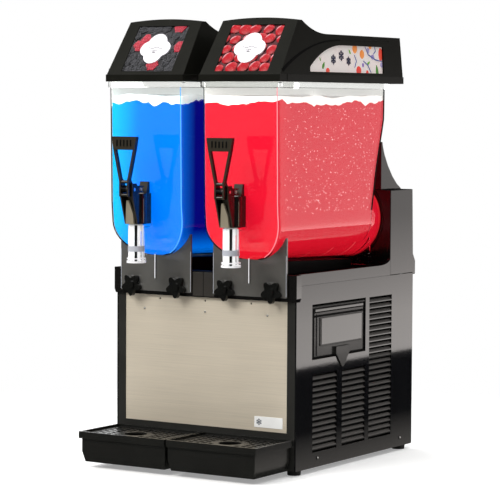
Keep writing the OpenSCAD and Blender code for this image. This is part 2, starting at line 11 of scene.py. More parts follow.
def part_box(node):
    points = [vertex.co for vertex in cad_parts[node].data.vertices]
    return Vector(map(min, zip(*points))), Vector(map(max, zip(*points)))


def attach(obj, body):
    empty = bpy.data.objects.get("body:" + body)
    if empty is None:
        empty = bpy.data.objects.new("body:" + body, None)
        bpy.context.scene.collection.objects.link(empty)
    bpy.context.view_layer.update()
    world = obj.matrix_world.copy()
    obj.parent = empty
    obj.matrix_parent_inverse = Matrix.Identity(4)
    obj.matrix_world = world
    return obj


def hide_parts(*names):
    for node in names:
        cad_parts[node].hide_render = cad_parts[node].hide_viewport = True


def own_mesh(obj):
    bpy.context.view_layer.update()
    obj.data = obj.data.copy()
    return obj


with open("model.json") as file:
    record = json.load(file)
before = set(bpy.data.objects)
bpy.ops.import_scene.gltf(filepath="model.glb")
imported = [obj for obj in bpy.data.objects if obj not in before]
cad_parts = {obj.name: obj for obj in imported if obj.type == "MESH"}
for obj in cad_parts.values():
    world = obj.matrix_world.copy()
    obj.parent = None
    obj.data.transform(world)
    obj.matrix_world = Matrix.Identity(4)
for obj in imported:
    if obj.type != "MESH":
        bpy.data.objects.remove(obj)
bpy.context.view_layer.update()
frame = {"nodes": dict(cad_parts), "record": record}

MM = 0.001
SIDES = {"left": -1, "right": 1}
NODES = frame["nodes"]
BODY_OF = {n: b for b, group in frame["record"]["behaviour"]["bodies"].items() for n in group}
SLOT_OF = {s["node"]: s["material_slot"] for s in frame["record"]["subparts"]}

# The machine's own frame: y = 0 is the face of the front columns, everything in millimetres
FACE_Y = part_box("front_panel")[0].y - 1 * MM
BOWL_X = (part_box("auger_shaft_right")[0].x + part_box("auger_shaft_right")[1].x) / 2 / MM
AXIS_Z = (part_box("auger_shaft_right")[0].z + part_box("auger_shaft_right")[1].z) / 2 / MM
NOZZLE_R = 17.8
TAP_Y = ((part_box("tap_nozzle_right")[0].y - FACE_Y) / MM) + NOZZLE_R
HALF_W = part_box("side_panel_right")[1].x / MM
RIM_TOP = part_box("bowl_right")[1].z / MM
MIDDLE = {side: s * BOWL_X for side, s in SIDES.items()}


def pt(x, y, z):
    """A point of the machine's frame in metres of the row frame."""
    return Vector((x * MM, y * MM + FACE_Y, z * MM))


def turned(at, degrees, axis):
    """A placement at a point, turned about one axis."""
    return Matrix.Translation(at) @ Matrix.Rotation(math.radians(degrees), 4, axis)


# ---------------------------------------------------------------- meshes


def shade(obj, angle=35):
    """Smooth shading in which the large flat faces stay flat."""
    obj.data.shade_smooth()
    obj.data.set_sharp_from_angle(angle=math.radians(angle))
    mod = obj.modifiers.new("normals", "WEIGHTED_NORMAL")
    mod.weight = 100
    mod.keep_sharp = True
    baked(obj)


def baked(obj):
    """Applies the object's modifiers to its mesh."""
    graph = bpy.context.evaluated_depsgraph_get()
    mesh = bpy.data.meshes.new_from_object(obj.evaluated_get(graph))
    obj.modifiers.clear()
    obj.data = mesh
    return obj


def solid(name, verts, faces, merge=1e-6):
    """A mesh object with merged points and outward normals."""
    mesh = bpy.data.meshes.new(name)
    mesh.from_pydata([tuple(v) for v in verts], [], faces)
    bm = bmesh.new()
    bm.from_mesh(mesh)
    bmesh.ops.remove_doubles(bm, verts=bm.verts, dist=merge)
    bmesh.ops.recalc_face_normals(bm, faces=bm.faces)
    bm.to_mesh(mesh)
    bm.free()
    obj = bpy.data.objects.new(name, mesh)
    bpy.context.scene.collection.objects.link(obj)
    return obj


def joined(name, objects):
    """One object holding several loose meshes."""
    verts, faces = [], []
    for obj in objects:
        base = len(verts)
        verts += [obj.matrix_world @ v.co for v in obj.data.vertices]
        faces += [[base + i for i in p.vertices] for p in obj.data.polygons]
        bpy.data.objects.remove(obj)
    return solid(name, verts, faces, merge=0)


def boolean(obj, other, operation):
    mod = obj.modifiers.new("cut", "BOOLEAN")
    mod.operation = operation
    mod.solver = "EXACT"
    mod.object = other
    bpy.context.view_layer.update()
    baked(obj)
    bpy.data.objects.remove(other)
    return obj


def bevel(obj, width, segments=2, angle=30):
    mod = obj.modifiers.new("edge", "BEVEL")
    mod.width = width * MM
    mod.segments = segments
    mod.limit_method = "ANGLE"
    mod.angle_limit = math.radians(angle)
    mod.miter_outer = "MITER_ARC"
    return baked(obj)


def piece(obj, material, body, angle=35, shadow=True):
    """Finishes a new piece: material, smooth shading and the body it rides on."""
    obj.data.materials.clear()
    obj.data.materials.append(material)
    shade(obj, angle)
    obj.visible_shadow = shadow
    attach(obj, body)
    return obj


def fitted(obj, node, material, angle=35, shadow=True):
    """Finishes a new piece that rides with a CAD node."""
    return piece(obj, material, BODY_OF[node], angle, shadow)


def stands_for(obj, node, material, angle=35, shadow=True):
    """Finishes a piece that replaces one CAD node."""
    fitted(obj, node, material, angle, shadow)
    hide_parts(node)
    return obj


def copied(node, name):
    """The CAD node's own shape as a new object."""
    source = NODES[node].data
    return solid(name, [v.co for v in source.vertices], [list(p.vertices) for p in source.polygons], 2e-6)


def rounded(node, width, material, segments=2):
    """The CAD node's own shape with its sharp edges rounded off."""
    obj = copied(node, node + "_shell")
    bm = bmesh.new()
    bm.from_mesh(obj.data)
    bmesh.ops.dissolve_limit(bm, angle_limit=math.radians(0.7), verts=bm.verts, edges=bm.edges)
    bm.to_mesh(obj.data)
    bm.free()
    bevel(obj, width, segments)
    return stands_for(obj, node, material)


def loft(name, rings, closed=False):
    """Joins rings of equal length into a skin. closed joins the last ring to the first,
    otherwise each end is closed by one face."""
    n = len(rings[0])
    verts = [p for ring in rings for p in ring]
    last = len(rings) if closed else len(rings) - 1
    faces = []
    for i in range(last):
        a, b = i * n, ((i + 1) % len(rings)) * n
        faces += [[a + k, a + (k + 1) % n, b + (k + 1) % n, b + k] for k in range(n)]
    if not closed:
        faces += [list(range(n)), [(len(rings) - 1) * n + k for k in range(n)]]
    return solid(name, verts, faces)


def lathe(name, profile, place, segments=48):
    """Turns a closed profile of (radius, height) about the local z axis of place."""
    rings = []
    for k in range(segments):
        a = 2 * math.pi * k / segments
        rings.append([place @ Vector((r * math.cos(a) * MM, r * math.sin(a) * MM, h * MM))
                      for r, h in profile])
    return loft(name, rings, closed=True)


def rounded_ring(x0, x1, y0, y1, z, r, steps=6):
    """A rounded rectangle at height z, as points in the row frame."""
    points = []
    left, right, front, back = x0 + r, x1 - r, y0 + r, y1 - r
    for cx, cy, start in ((right, back, 0), (left, back, 90), (left, front, 180), (right, front, 270)):
        for i in range(steps + 1):
            a = math.radians(start + 90 * i / steps)
            points.append(pt(cx + r * math.cos(a), cy + r * math.sin(a), z))
    return points


def block(name, x, y, z, place=None):
    """A box between the given limits, in millimetres."""
    corners = [(x[i], y[j], z[k]) for i in (0, 1) for j in (0, 1) for k in (0, 1)]
    verts = [place @ (Vector(c) * MM) if place else pt(*c) for c in corners]
    faces = [[0, 1, 3, 2], [4, 6, 7, 5], [0, 4, 5, 1], [2, 3, 7, 6], [0, 2, 6, 4], [1, 5, 7, 3]]
    return solid(name, verts, faces)


def prism(name, outline, depth, place):
    """A flat outline of (u, v) raised along the local z axis of place, from depth[0] to depth[1]."""
    rings = [[place @ (Vector((u, v, d)) * MM) for u, v in outline] for d in depth]
    return loft(name, rings)


def dome(outline, centre, height, place, rings=4):
    """Points and faces of a low dome over an outline of (u, v) offsets about centre."""
    n = len(outline)
    verts = []
    cu, cv, base = centre
    for k in range(rings):
        share = math.cos(math.pi / 2 * k / rings)
        lift = height * math.sin(math.pi / 2 * k / rings)
        verts += [place @ (Vector((cu + u * share, cv + v * share, lift + base)) * MM) for u, v in outline]
    verts.append(place @ (Vector((cu, cv, height + base)) * MM))
    faces = [[k * n + i, k * n + (i + 1) % n, (k + 1) * n + (i + 1) % n, (k + 1) * n + i]
             for k in range(rings - 1) for i in range(n)]
    top = (rings - 1) * n
    faces += [[top + i, top + (i + 1) % n, len(verts) - 1] for i in range(n)]
    return verts, faces


def merged(name, parts):
    """One object from several (verts, faces) pairs."""
    verts, faces = [], []
    for part_verts, part_faces in parts:
        base = len(verts)
        verts += part_verts
        faces += [[base + i for i in f] for f in part_faces]
    return solid(name, verts, faces, merge=0)


# ---------------------------------------------------------------- materials

INPUTS = {"base": "Base Color", "rough": "Roughness", "metal": "Metallic", "ior": "IOR", "alpha": "Alpha",
          "coat": "Coat Weight", "coat_rough": "Coat Roughness", "glass": "Transmission Weight",
          "specular": "Specular IOR Level", "glow": "Emission Strength", "glow_colour": "Emission Color"}


class Nodes:
    """A short way to build a material's node tree."""

    def __init__(self, name):
        self.material = bpy.data.materials.new(name)
        self.material.use_nodes = True
        self.tree = self.material.node_tree
        self.bsdf = self.tree.nodes["Principled BSDF"]

    def add(self, kind, **values):
        node = self.tree.nodes.new(kind)
        for key, value in values.items():
            setattr(node, key, value)
        return node

    def link(self, source, target):
        self.tree.links.new(source, target)

    def coords(self, stretch=(1, 1, 1)):
        place = self.add("ShaderNodeMapping")
        place.inputs["Scale"].default_value = stretch
        self.link(self.add("ShaderNodeTexCoord").outputs["Object"], place.inputs["Vector"])
        return place.outputs["Vector"]

    def noise(self, scale, stretch=(1, 1, 1), detail=3.0, rough=0.55):
        node = self.add("ShaderNodeTexNoise")
        node.inputs["Scale"].default_value = scale
        node.inputs["Detail"].default_value = detail
        node.inputs["Roughness"].default_value = rough
        self.link(self.coords(stretch), node.inputs["Vector"])
        return node.outputs["Fac"]

    def ramp(self, source, stops):
        node = self.add("ShaderNodeValToRGB")
        elements = node.color_ramp.elements
        while len(elements) < len(stops):
            elements.new(0.5)
        for element, (at, colour) in zip(elements, stops):
            element.position = at
            element.color = (*colour, 1) if len(colour) == 3 else colour
        self.link(source, node.inputs["Fac"])
        return node.outputs["Color"]

    def spread(self, source, low, high, start=0.0, end=1.0):
        node = self.add("ShaderNodeMapRange")
        for key, value in (("From Min", start), ("From Max", end), ("To Min", low), ("To Max", high)):
            node.inputs[key].default_value = value
        self.link(source, node.inputs["Value"])
        return node.outputs["Result"]

    def mix(self, factor, a, b, blend="MIX"):
        node = self.add("ShaderNodeMixRGB", blend_type=blend)
        for key, value in (("Fac", factor), ("Color1", a), ("Color2", b)):
            if isinstance(value, (tuple, float, int)):
                node.inputs[key].default_value = (*value, 1) if isinstance(value, tuple) else value
            else:
                self.link(value, node.inputs[key])
        return node.outputs["Color"]

    def split(self, vector=None):
        """The parts of a vector, by default of the object's coordinates."""
        node = self.add("ShaderNodeSeparateXYZ")
        self.link(self.coords() if vector is None else vector, node.inputs["Vector"])
        return node.outputs

    def normal(self):
        return self.add("ShaderNodeNewGeometry").outputs["Normal"]

    def cells(self, scale):
        node = self.add("ShaderNodeTexVoronoi")
        node.inputs["Scale"].default_value = scale
        self.link(self.coords(), node.inputs["Vector"])
        return node.outputs["Distance"]

    def times(self, a, b):
        node = self.add("ShaderNodeMath", operation="MULTIPLY")
        self.link(a, node.inputs[0])
        self.link(b, node.inputs[1])
        return node.outputs["Value"]

    def clouded(self, colour):
        return self.ramp(self.noise(14.0, detail=4.0), [(0.3, tint(colour, 0.85)), (0.7, tint(colour, 1.15))])

    def bump(self, source, strength, distance):
        node = self.add("ShaderNodeBump")
        node.inputs["Strength"].default_value = strength
        node.inputs["Distance"].default_value = distance
        self.link(source, node.inputs["Height"])
        self.link(node.outputs["Normal"], self.bsdf.inputs["Normal"])

    def set(self, **values):
        """Sets inputs of the surface, each to a number, a colour or another node's output."""
        for key, value in values.items():
            target = self.bsdf.inputs[INPUTS[key]]
            if isinstance(value, bpy.types.NodeSocket):
                self.link(value, target)
            else:
                target.default_value = (*value, 1) if isinstance(value, tuple) else value


def tint(colour, share):
    return tuple(min(1.0, c * share) for c in colour)


def moulded(name, colour, rough=0.3, spread=0.02, relief=0.12, specular=0.5, coat=0.0):
    """Moulded plastic: faint cloudy colour, fine grain in its gloss and a trace of orange peel."""
    m = Nodes(name)
    m.set(base=m.clouded(colour), rough=m.spread(m.noise(60.0), rough - spread, rough + spread, 0.3, 0.7),
          specular=specular, coat=coat, coat_rough=0.08)
    m.bump(m.noise(420.0, detail=2.0), relief, 0.0004)
    return m.material


def painted_light_by_facing(name, colour, other, axis, span, rough=0.15, dull=0.0, shine=(0.5, 0.5)):
    """Gloss plastic whose faces turned along one axis have another colour, roughness and shine.
    That other colour is painted light or painted shade, set by which way a face turns.
    """
    m = Nodes(name)
    share = m.spread(m.split(m.normal())[axis], 1.0, 0.0, *span)
    m.set(base=m.mix(share, m.clouded(colour), other), rough=m.spread(share, rough, rough + dull),
          specular=m.spread(share, *shine))
    m.bump(m.noise(260.0, detail=2.0), 0.02, 0.0004)
    return m.material


def brushed(name, colour, along=(1, 1, 1), rough=0.32, metal=1.0, lines=260.0):
    """Brushed metal: streaks drawn out along one axis, over slow clouds."""
    m = Nodes(name)
    streaks = m.noise(lines, stretch=along, detail=5.0, rough=0.7)
    both = m.mix(0.4, streaks, m.noise(5.0, detail=2.0))
    m.set(base=m.ramp(both, [(0.25, tint(colour, 0.86)), (0.75, tint(colour, 1.1))]),
          rough=m.spread(streaks, rough - 0.08, rough + 0.1, 0.25, 0.75), metal=metal)
    m.bump(streaks, 0.05, 0.0002)
    return m.material


def clear(name):
    """Clear polycarbonate with faint flow marks and fine wear."""
    m = Nodes(name)
    m.set(base=(0.90, 0.905, 0.89), rough=m.spread(m.noise(40.0), 0.015, 0.065, 0.45, 0.8), glass=1.0,
          ior=1.12, coat=0.45, coat_rough=0.03)
    m.bump(m.noise(9.0, stretch=(1, 1, 0.3), detail=1.0), 0.05, 0.002)
    return m.material


def seal(name):
    """Clear silicone that carries the colour of the drink it touches: blue on the left, red on the right.
    It glows in that colour, which is painted light.
    """
    m = Nodes(name)
    side = m.spread(m.split()["X"], 0.0, 1.0, -0.01, 0.01)
    colour = m.mix(side, (0.0, 0.05, 0.55), (0.75, 0.008, 0.02))
    colour = m.mix(m.spread(m.noise(80.0), 0.0, 0.25), colour, (0.02, 0.02, 0.02))
    m.set(base=colour, glow_colour=colour, rough=0.35, glow=0.5)
    m.bump(m.noise(300.0), 0.2, 0.0004)
    return m.material


def slush(name, main, edge, deep, haze, glow_x, sides, glow):
    """Frozen drink with painted light: it glows in its own colour and is painted paler towards glow_x, and
    with painted shade, darker on its broad sides; with ice grain and specks. glow_x is the (pale, plain)
    pair of x positions in metres, sides the painted shade of the left and right sides."""
    m = Nodes(name)
    at = m.split()
    # Painted light: paler towards glow_x.
    across = m.spread(at["X"], 0.0, 1.0, *glow_x)
    clouds = m.mix(0.16, across, m.noise(9.0, stretch=(1.3, 1, 0.7), detail=2.0))
    colour = m.ramp(clouds, [(0.12, edge), (0.62, main), (1.0, tint(main, 0.9))])
    colour = m.mix(m.spread(at["Z"], 0.55, 0.0, 0.385, 0.46), colour, deep)
    colour = m.mix(m.spread(m.noise(650.0, detail=2.0), 0.0, 0.10, 0.45, 0.75), colour, haze)
    specks = m.spread(m.cells(170.0), 0.4, 0.0, 0.06, 0.17)
    rare = m.spread(m.noise(120.0), 0.0, 1.0, 0.52, 0.64)
    colour = m.mix(m.times(specks, rare), colour, haze)
    # Painted shade: each broad side darkened by its tint in sides, half as much at the very front.
    facing = m.split(m.normal())["X"]
    for low, share in ((-0.55, sides[0]), (0.55, sides[1])):
        side = m.times(m.spread(facing, 0.0, 1.0, low, low * 1.75),
                       m.spread(at["Y"], 0.5, 1.0, -0.195, -0.155))
        colour = m.mix(1.0, colour, m.mix(side, (1.0, 1.0, 1.0), share), "MULTIPLY")
    m.set(base=m.mix(1.0, colour, (0.3, 0.3, 0.3), "MULTIPLY"), glow_colour=colour,
          rough=m.spread(m.noise(90.0), 0.4, 0.6), glow=glow, specular=0.02)
    m.bump(m.noise(380.0, detail=3.0), 0.25, 0.0006)
    return m.material


def frosty(name, colour, shadow):
    """Pale frost on top of the drink; it glows, which is painted light."""
    m = Nodes(name)
    m.set(base=m.ramp(m.noise(60.0, detail=4.0), [(0.3, shadow), (0.6, colour)]), glow_colour=colour,
          rough=0.6, glow=0.4)
    m.bump(m.noise(320.0, detail=5.0), 0.5, 0.0012)
    return m.material


def fruit(name, dark, main, light, towards, cell=0.0, seed=(0.95, 0.75, 0.3)):
    """Printed fruit: each dome is dark at its rim and has a pale highlight on the side named by towards."""
    m = Nodes(name)
    facing = m.add("ShaderNodeVectorMath", operation="DOT_PRODUCT")
    m.link(m.normal(), facing.inputs[0])
    facing.inputs[1].default_value = Vector(towards).normalized()
    lit = m.spread(facing.outputs["Value"], 0.0, 1.0, 0.1, 1.0)
    colour = m.ramp(lit, [(0.32, dark), (0.66, main), (0.88, main), (0.985, light)])
    if cell:
        colour = m.mix(m.spread(m.cells(cell), 0.7, 0.0, 0.16, 0.24), colour, seed)
    colour = m.mix(m.spread(m.noise(200.0), 0.0, 0.25, 0.4, 0.8), colour, dark)
    m.set(base=m.mix(1.0, colour, (0.5, 0.5, 0.5), "MULTIPLY"), glow_colour=colour,
          rough=m.spread(m.noise(150.0), 0.3, 0.45), glow=0.5, specular=0.2)
    return m.material


def flat_colour(name, colour, glow=0.3, rough=0.3, second=None):
    """Flat colour: even colour with a faint paper-like mottle, giving off light by glow. It serves print and
    the lamp cover, and also painted highlights and painted glow on parts that are no lamp.
    """
    m = Nodes(name)
    mottle = m.ramp(m.noise(35.0, detail=3.0), [(0.3, second or tint(colour, 0.93)), (0.7, colour)])
    m.set(base=mottle, glow_colour=mottle, rough=m.spread(m.noise(220.0), rough - 0.05, rough + 0.08),
          glow=glow)
    return m.material


UPWARD = (0.75, 0.35)
# Faces turned up are painted lighter and duller than the near-black rest: painted light.
CABINET = painted_light_by_facing("cabinet_plastic", (0.0045, 0.0045, 0.0048), (0.105, 0.096, 0.088), "Z", UPWARD, 0.045, 0.6)
# Faces turned up are painted darker and less shiny: painted shade on the deck's top.
TOWER = painted_light_by_facing("tower_plastic", (0.0055, 0.005, 0.0048), (0.002, 0.002, 0.002), "Z", UPWARD, 0.08, 0.5,
              shine=(0.5, 0.03))
FRONT = moulded("frame_plastic", (0.021, 0.0205, 0.0185), rough=0.3, relief=0.02)
LID = moulded("lid_plastic", (0.0095, 0.0095, 0.0075), rough=0.30, relief=0.05, specular=0.09)
TRAY = moulded("tray_plastic", (0.0085, 0.0085, 0.0075), rough=0.2, relief=0.03)
# Faces turned to the front are painted paler: painted light on the tap.
TAP = painted_light_by_facing("tap_plastic", (0.008, 0.006, 0.005), (0.036, 0.030, 0.021), "Y", (-0.97, -0.6), rough=0.12)
KNOB = moulded("knob_plastic", (0.005, 0.005, 0.0045), rough=0.16, relief=0.03)
SMOKED = moulded("smoked_plastic", (0.098, 0.095, 0.088), rough=0.16, relief=0.02, coat=0.3)
FLAP_FIELD = moulded("flap_field", (0.022, 0.021, 0.0195), rough=0.2, relief=0.02, specular=0.16)
FLAP_DARK = moulded("flap_shadow_edge", (0.002, 0.002, 0.002), rough=0.6, relief=0.1, specular=0.05)
FLAP = moulded("flap_plastic", (0.010, 0.0095, 0.009), rough=0.06, spread=0.01, relief=0.01, specular=0.55)
RUBBER = moulded("rubber_grain", (0.008, 0.008, 0.0075), rough=0.7, relief=0.4)
SILICONE = seal("silicone_seal")
WHITE = moulded("food_white_plastic_grain", (0.72, 0.72, 0.69), rough=0.35)
PANEL = moulded("panel_plastic", (0.05, 0.05, 0.05), rough=0.45)
SWITCH_GREEN = moulded("switch_green_plastic", (0.02, 0.22, 0.04), rough=0.25)
SWITCH_BLACK = moulded("switch_black_plastic", (0.008, 0.008, 0.008), rough=0.3)
INLET = moulded("inlet_plastic", (0.01, 0.01, 0.01), rough=0.5)
STEEL = brushed("brushed_steel_front", (0.80, 0.71, 0.575), (0.02, 1, 1.6), rough=0.40, metal=0.4, lines=420.0)
PAN_STEEL = brushed("painted_steel_pan", (0.06, 0.06, 0.062), rough=0.45, metal=0.0)
GALVANISED = brushed("galvanised_sheet", (0.4, 0.4, 0.39), rough=0.5, lines=60.0)
POLISHED = brushed("polished_steel", (0.72, 0.73, 0.74), rough=0.2)
SPRING = brushed("spring_wire", (0.62, 0.63, 0.64), rough=0.22)
FINS = brushed("fin_aluminium", (0.62, 0.64, 0.66), rough=0.35, lines=180.0)
GRILLE = moulded("grille_coating", (0.012, 0.0115, 0.0105), rough=0.28, relief=0.1, specular=0.35)
MOTOR = moulded("motor_enamel", (0.08, 0.09, 0.1), rough=0.4, relief=0.2)
ENAMEL = moulded("compressor_enamel_coat", (0.006, 0.007, 0.008), rough=0.22)
FAN = moulded("fan_coat", (0.012, 0.012, 0.013), rough=0.4)
BOWL = clear("clear_bowl")
LAMP = flat_colour("lamp_cover", (0.95, 0.95, 0.9), glow=1.2)
SCREW = brushed("screw_steel", (0.5, 0.5, 0.49), rough=0.3, lines=500.0)

CAD_MATERIALS = {
    "painted_steel": PAN_STEEL, "rubber": RUBBER, "cabinet_black": CABINET, "brushed_stainless": STEEL,
    "galvanised_steel": GALVANISED, "deck_black": TOWER, "compressor_enamel": ENAMEL, "aluminium_fins": FINS,
    "fan_black": FAN, "fan_aluminium": FINS, "motor_grey": MOTOR, "polished_stainless": POLISHED,
    "food_white_plastic": WHITE, "clear_polycarbonate": BOWL, "silicone": SILICONE, "smoked_plastic": SMOKED,
    "knob_black": KNOB, "tap_black": TAP, "spring_steel": SPRING, "lid_black": LID, "display_left": PANEL,
    "display_right": PANEL, "side_graphic": PANEL, "lamp_white": LAMP, "tray_black": TRAY,
    "grille_grey": GRILLE, "flap_grey": FLAP, "panel_grey": PANEL, "switch_green": SWITCH_GREEN,
    "switch_black": SWITCH_BLACK,
    "inlet_black": INLET,
}
for node_name, cad_object in NODES.items():
    cad_object.data.materials.clear()
    cad_object.data.materials.append(CAD_MATERIALS[SLOT_OF[node_name]])

# ---------------------------------------------------------------- camera, light and stage

CAMERA_AT = Vector((2.3222, -3.6702, 0.6684))
YAW, PITCH, ROLL = math.radians(32.358), math.radians(-3.621), math.radians(0.314)
FOCAL_IN_WIDTHS = 4.604


def camera():
    forward = Vector((-math.sin(YAW) * math.cos(PITCH), math.cos(YAW) * math.cos(PITCH), math.sin(PITCH)))
    level = Vector((math.cos(YAW), math.sin(YAW), 0))
    up = level.cross(forward)
    right = math.cos(ROLL) * level + math.sin(ROLL) * up
    up = right.cross(forward)
    data = bpy.data.cameras.new("camera")
    data.sensor_width = 36.0
    data.lens = FOCAL_IN_WIDTHS * data.sensor_width
    obj = bpy.data.objects.new("camera", data)
    obj.matrix_world = Matrix.Translation(CAMERA_AT) @ Matrix((right, up, -forward)).transposed().to_4x4()
    bpy.context.scene.collection.objects.link(obj)
    bpy.context.scene.camera = obj


def area_light(name, at, aim, size, power, colour=(1, 1, 1)):
    data = bpy.data.lights.new(name, "AREA")
    data.shape = "RECTANGLE"
    data.size, data.size_y = size
    data.energy = power
    data.color = colour
    obj = bpy.data.objects.new(name, data)
    obj.location = at
    obj.rotation_euler = (Vector(aim) - Vector(at)).to_track_quat("-Z", "Y").to_euler()
    obj.visible_camera = False
    bpy.context.scene.collection.objects.link(obj)
    return obj


def stage_card(name, verts, material):
    """A studio card that lights and reflects but isn't seen itself."""
    mesh = bpy.data.meshes.new(name)
    mesh.from_pydata(verts, [], [list(range(len(verts)))])
    mesh.materials.append(material)
    obj = bpy.data.objects.new(name, mesh)
    obj.visible_camera = False
    obj.visible_shadow = False
    bpy.context.scene.collection.objects.link(obj)
    return obj


def glossy_only(obj):
    """A card seen in reflections alone."""
    obj.visible_diffuse = False
    obj.visible_transmission = False
    obj.visible_volume_scatter = False


def glow_by(name, axis, span, stops, strength):
    """Emission that changes along one axis of the row frame."""
    m = Nodes(name)
    shader = m.add("ShaderNodeEmission")
    shader.inputs["Strength"].default_value = strength
    m.link(m.ramp(m.spread(m.split()[axis], 0.0, 1.0, *span), stops), shader.inputs["Color"])
    m.link(shader.outputs["Emission"], m.tree.nodes["Material Output"].inputs["Surface"])
    return m.material


def studio():
    scene = bpy.context.scene
    scene.view_settings.view_transform = "Standard"
    world = bpy.data.worlds.new("studio")
    world.use_nodes = True
    scene.world = world
    tree = world.node_tree
    background = tree.nodes["Background"]
    path = tree.nodes.new("ShaderNodeLightPath")
    seen = tree.nodes.new("ShaderNodeMath")
    seen.operation = "MAXIMUM"
    tree.links.new(path.outputs["Is Camera Ray"], seen.inputs[0])
    tree.links.new(path.outputs["Is Transmission Ray"], seen.inputs[1])
    split = tree.nodes.new("ShaderNodeSeparateXYZ")
    tree.links.new(tree.nodes.new("ShaderNodeTexCoord").outputs["Generated"], split.inputs["Vector"])
    sky = tree.nodes.new("ShaderNodeValToRGB")
    sky.color_ramp.elements[0].color = (0.07, 0.07, 0.065, 1)
    sky.color_ramp.elements[1].position = 0.6
    sky.color_ramp.elements[1].color = (0.55, 0.55, 0.54, 1)
    tree.links.new(split.outputs["Z"], sky.inputs["Fac"])
    mix = tree.nodes.new("ShaderNodeMixRGB")
    mix.inputs["Color2"].default_value = (1.0, 1.0, 1.0, 1)
    tree.links.new(seen.outputs["Value"], mix.inputs["Fac"])
    tree.links.new(sky.outputs["Color"], mix.inputs["Color1"])
    tree.links.new(mix.outputs["Color"], background.inputs["Color"])
    area_light("key", (-1.2, -2.6, 2.6), (0, 0, 0.4), (2.2, 1.6), 110, (1, 0.99, 0.96))
    area_light("top", (0.2, 0.3, 2.6), (0, 0.05, 0.4), (2.0, 2.0), 45)
    area_light("back_left", (-2.2, 1.6, 1.4), (0, 0, 0.4), (1.6, 1.6), 30)

    # Right-hand card, brightest near its foot, and the dark floor before it: the glossy side mirrors both
    warm = [(0.0, (0.86, 0.81, 0.78)), (0.10, (0.80, 0.75, 0.72)), (0.19, (0.60, 0.56, 0.54)),
            (0.34, (0.34, 0.32, 0.31)), (0.62, (0.30, 0.285, 0.28)), (0.76, (0.07, 0.065, 0.06))]
    card = stage_card("side_card", [(1.07, 0.4, 0), (1.07, 3.9, 0), (1.07, 3.9, 1.1), (1.07, 0.4, 1.1)],
                      glow_by("card_glow", "Z", (0.0, 1.1), warm, 3.6))
    glossy_only(card)
    near = [(0.0, (0.16, 0.15, 0.14)), (0.30, (0.006, 0.006, 0.007)), (1.0, (0.004, 0.004, 0.006))]
    corners = ((0.215, -0.6), (1.07, -0.6), (1.07, 3.9), (0.215, 3.9))
    flag = stage_card("side_flag", [(x, y, 0.0006) for x, y in corners],
                      glow_by("flag_glow", "X", (0.215, 1.07), near, 3.6))
    glossy_only(flag)

    # Pale floor that fades out into the white surroundings
    floor = Nodes("floor_pale")
    away = floor.add("ShaderNodeVectorMath", operation="LENGTH")
    floor.link(floor.coords(), away.inputs[0])
    floor.set(base=floor.ramp(floor.noise(3.0), [(0.3, (0.84, 0.84, 0.84)), (0.7, (0.87, 0.87, 0.87))]),
              alpha=floor.spread(away.outputs["Value"], 1.0, 0.0, 0.45, 1.1),
              glow_colour=(1, 1, 1), rough=0.6, specular=0.1, glow=0.3)
    mesh = bpy.data.meshes.new("floor")
    ring = [(1.5 * math.cos(math.pi * i / 32), 1.5 * math.sin(math.pi * i / 32), 0) for i in range(64)]
    mesh.from_pydata(ring, [], [list(range(64))])
    mesh.materials.append(floor.material)
    obj = bpy.data.objects.new("floor", mesh)
    scene.collection.objects.link(obj)
    obj.visible_glossy = False


camera()
studio()

# ---------------------------------------------------------------- cabinet shells

for node_name, width, material in (
        ("deck", 1.2, TOWER), ("tower_cover", 1.5, TOWER), ("front_frame", 1.0, FRONT),
        ("base_pan", 0.5, PAN_STEEL), ("rear_brace", 1.0, TOWER), ("front_panel", 0.3, STEEL),
        ("control_flap", 0.5, FLAP_FIELD)):
    rounded(node_name, width, material)
for side in SIDES:
    rounded(f"lid_{side}", 1.8, LID, segments=3)
    rounded(f"clamp_plate_{side}", 0.8, SMOKED)
    rounded(f"tap_body_{side}", 0.5, TAP)
    rounded(f"tap_handle_{side}", 1.1, TAP, segments=3)
    rounded(f"drip_tray_{side}", 1.0, TRAY)


def paddle_ridges(side):
    """Fine ridges on the lever's paddle, for the finger to find."""
    parts = []
    for k in range(-2, 3):
        x = SIDES[side] * BOWL_X + 7.5 * k
        parts.append(bevel(block("ridge", (x - 1.3, x + 1.3), (-113.1, -111.5), (591.5, 603.5)), 0.4))
    fitted(joined(f"paddle_ridges_{side}", parts), f"tap_handle_{side}", KNOB)


def tap_wedge(side):
    """Tapered rib down the front of the tap's sleeve, pale as a painted highlight."""
    x = MIDDLE[side]
    levels = ((449.5, 9.0, -93.5, -88.5), (470, 7.5, -95.0, -89.0), (493, 2.4, -101.0, -96.5))
    rings = [[pt(x - w, a, z), pt(x + w, a, z), pt(x + w, b, z), pt(x - w, b, z)] for z, w, a, b in levels]
    fitted(bevel(loft(f"tap_rib_{side}", rings), 0.6), f"tap_body_{side}", RIB_HIGHLIGHT)


def sector(x, r0, r1, z0, z1, a0, a1, steps=8):
    """A curved strip about the tap's axis, between two angles in degrees."""
    rings = []
    for k in range(steps + 1):
        a = math.radians(a0 + (a1 - a0) * k / steps)
        rings.append([pt(x + r * math.cos(a), TAP_Y + r * math.sin(a), z)
                      for r, z in ((r0, z0), (r1, z0), (r1, z1), (r0, z1))])
    return loft("sector", rings)


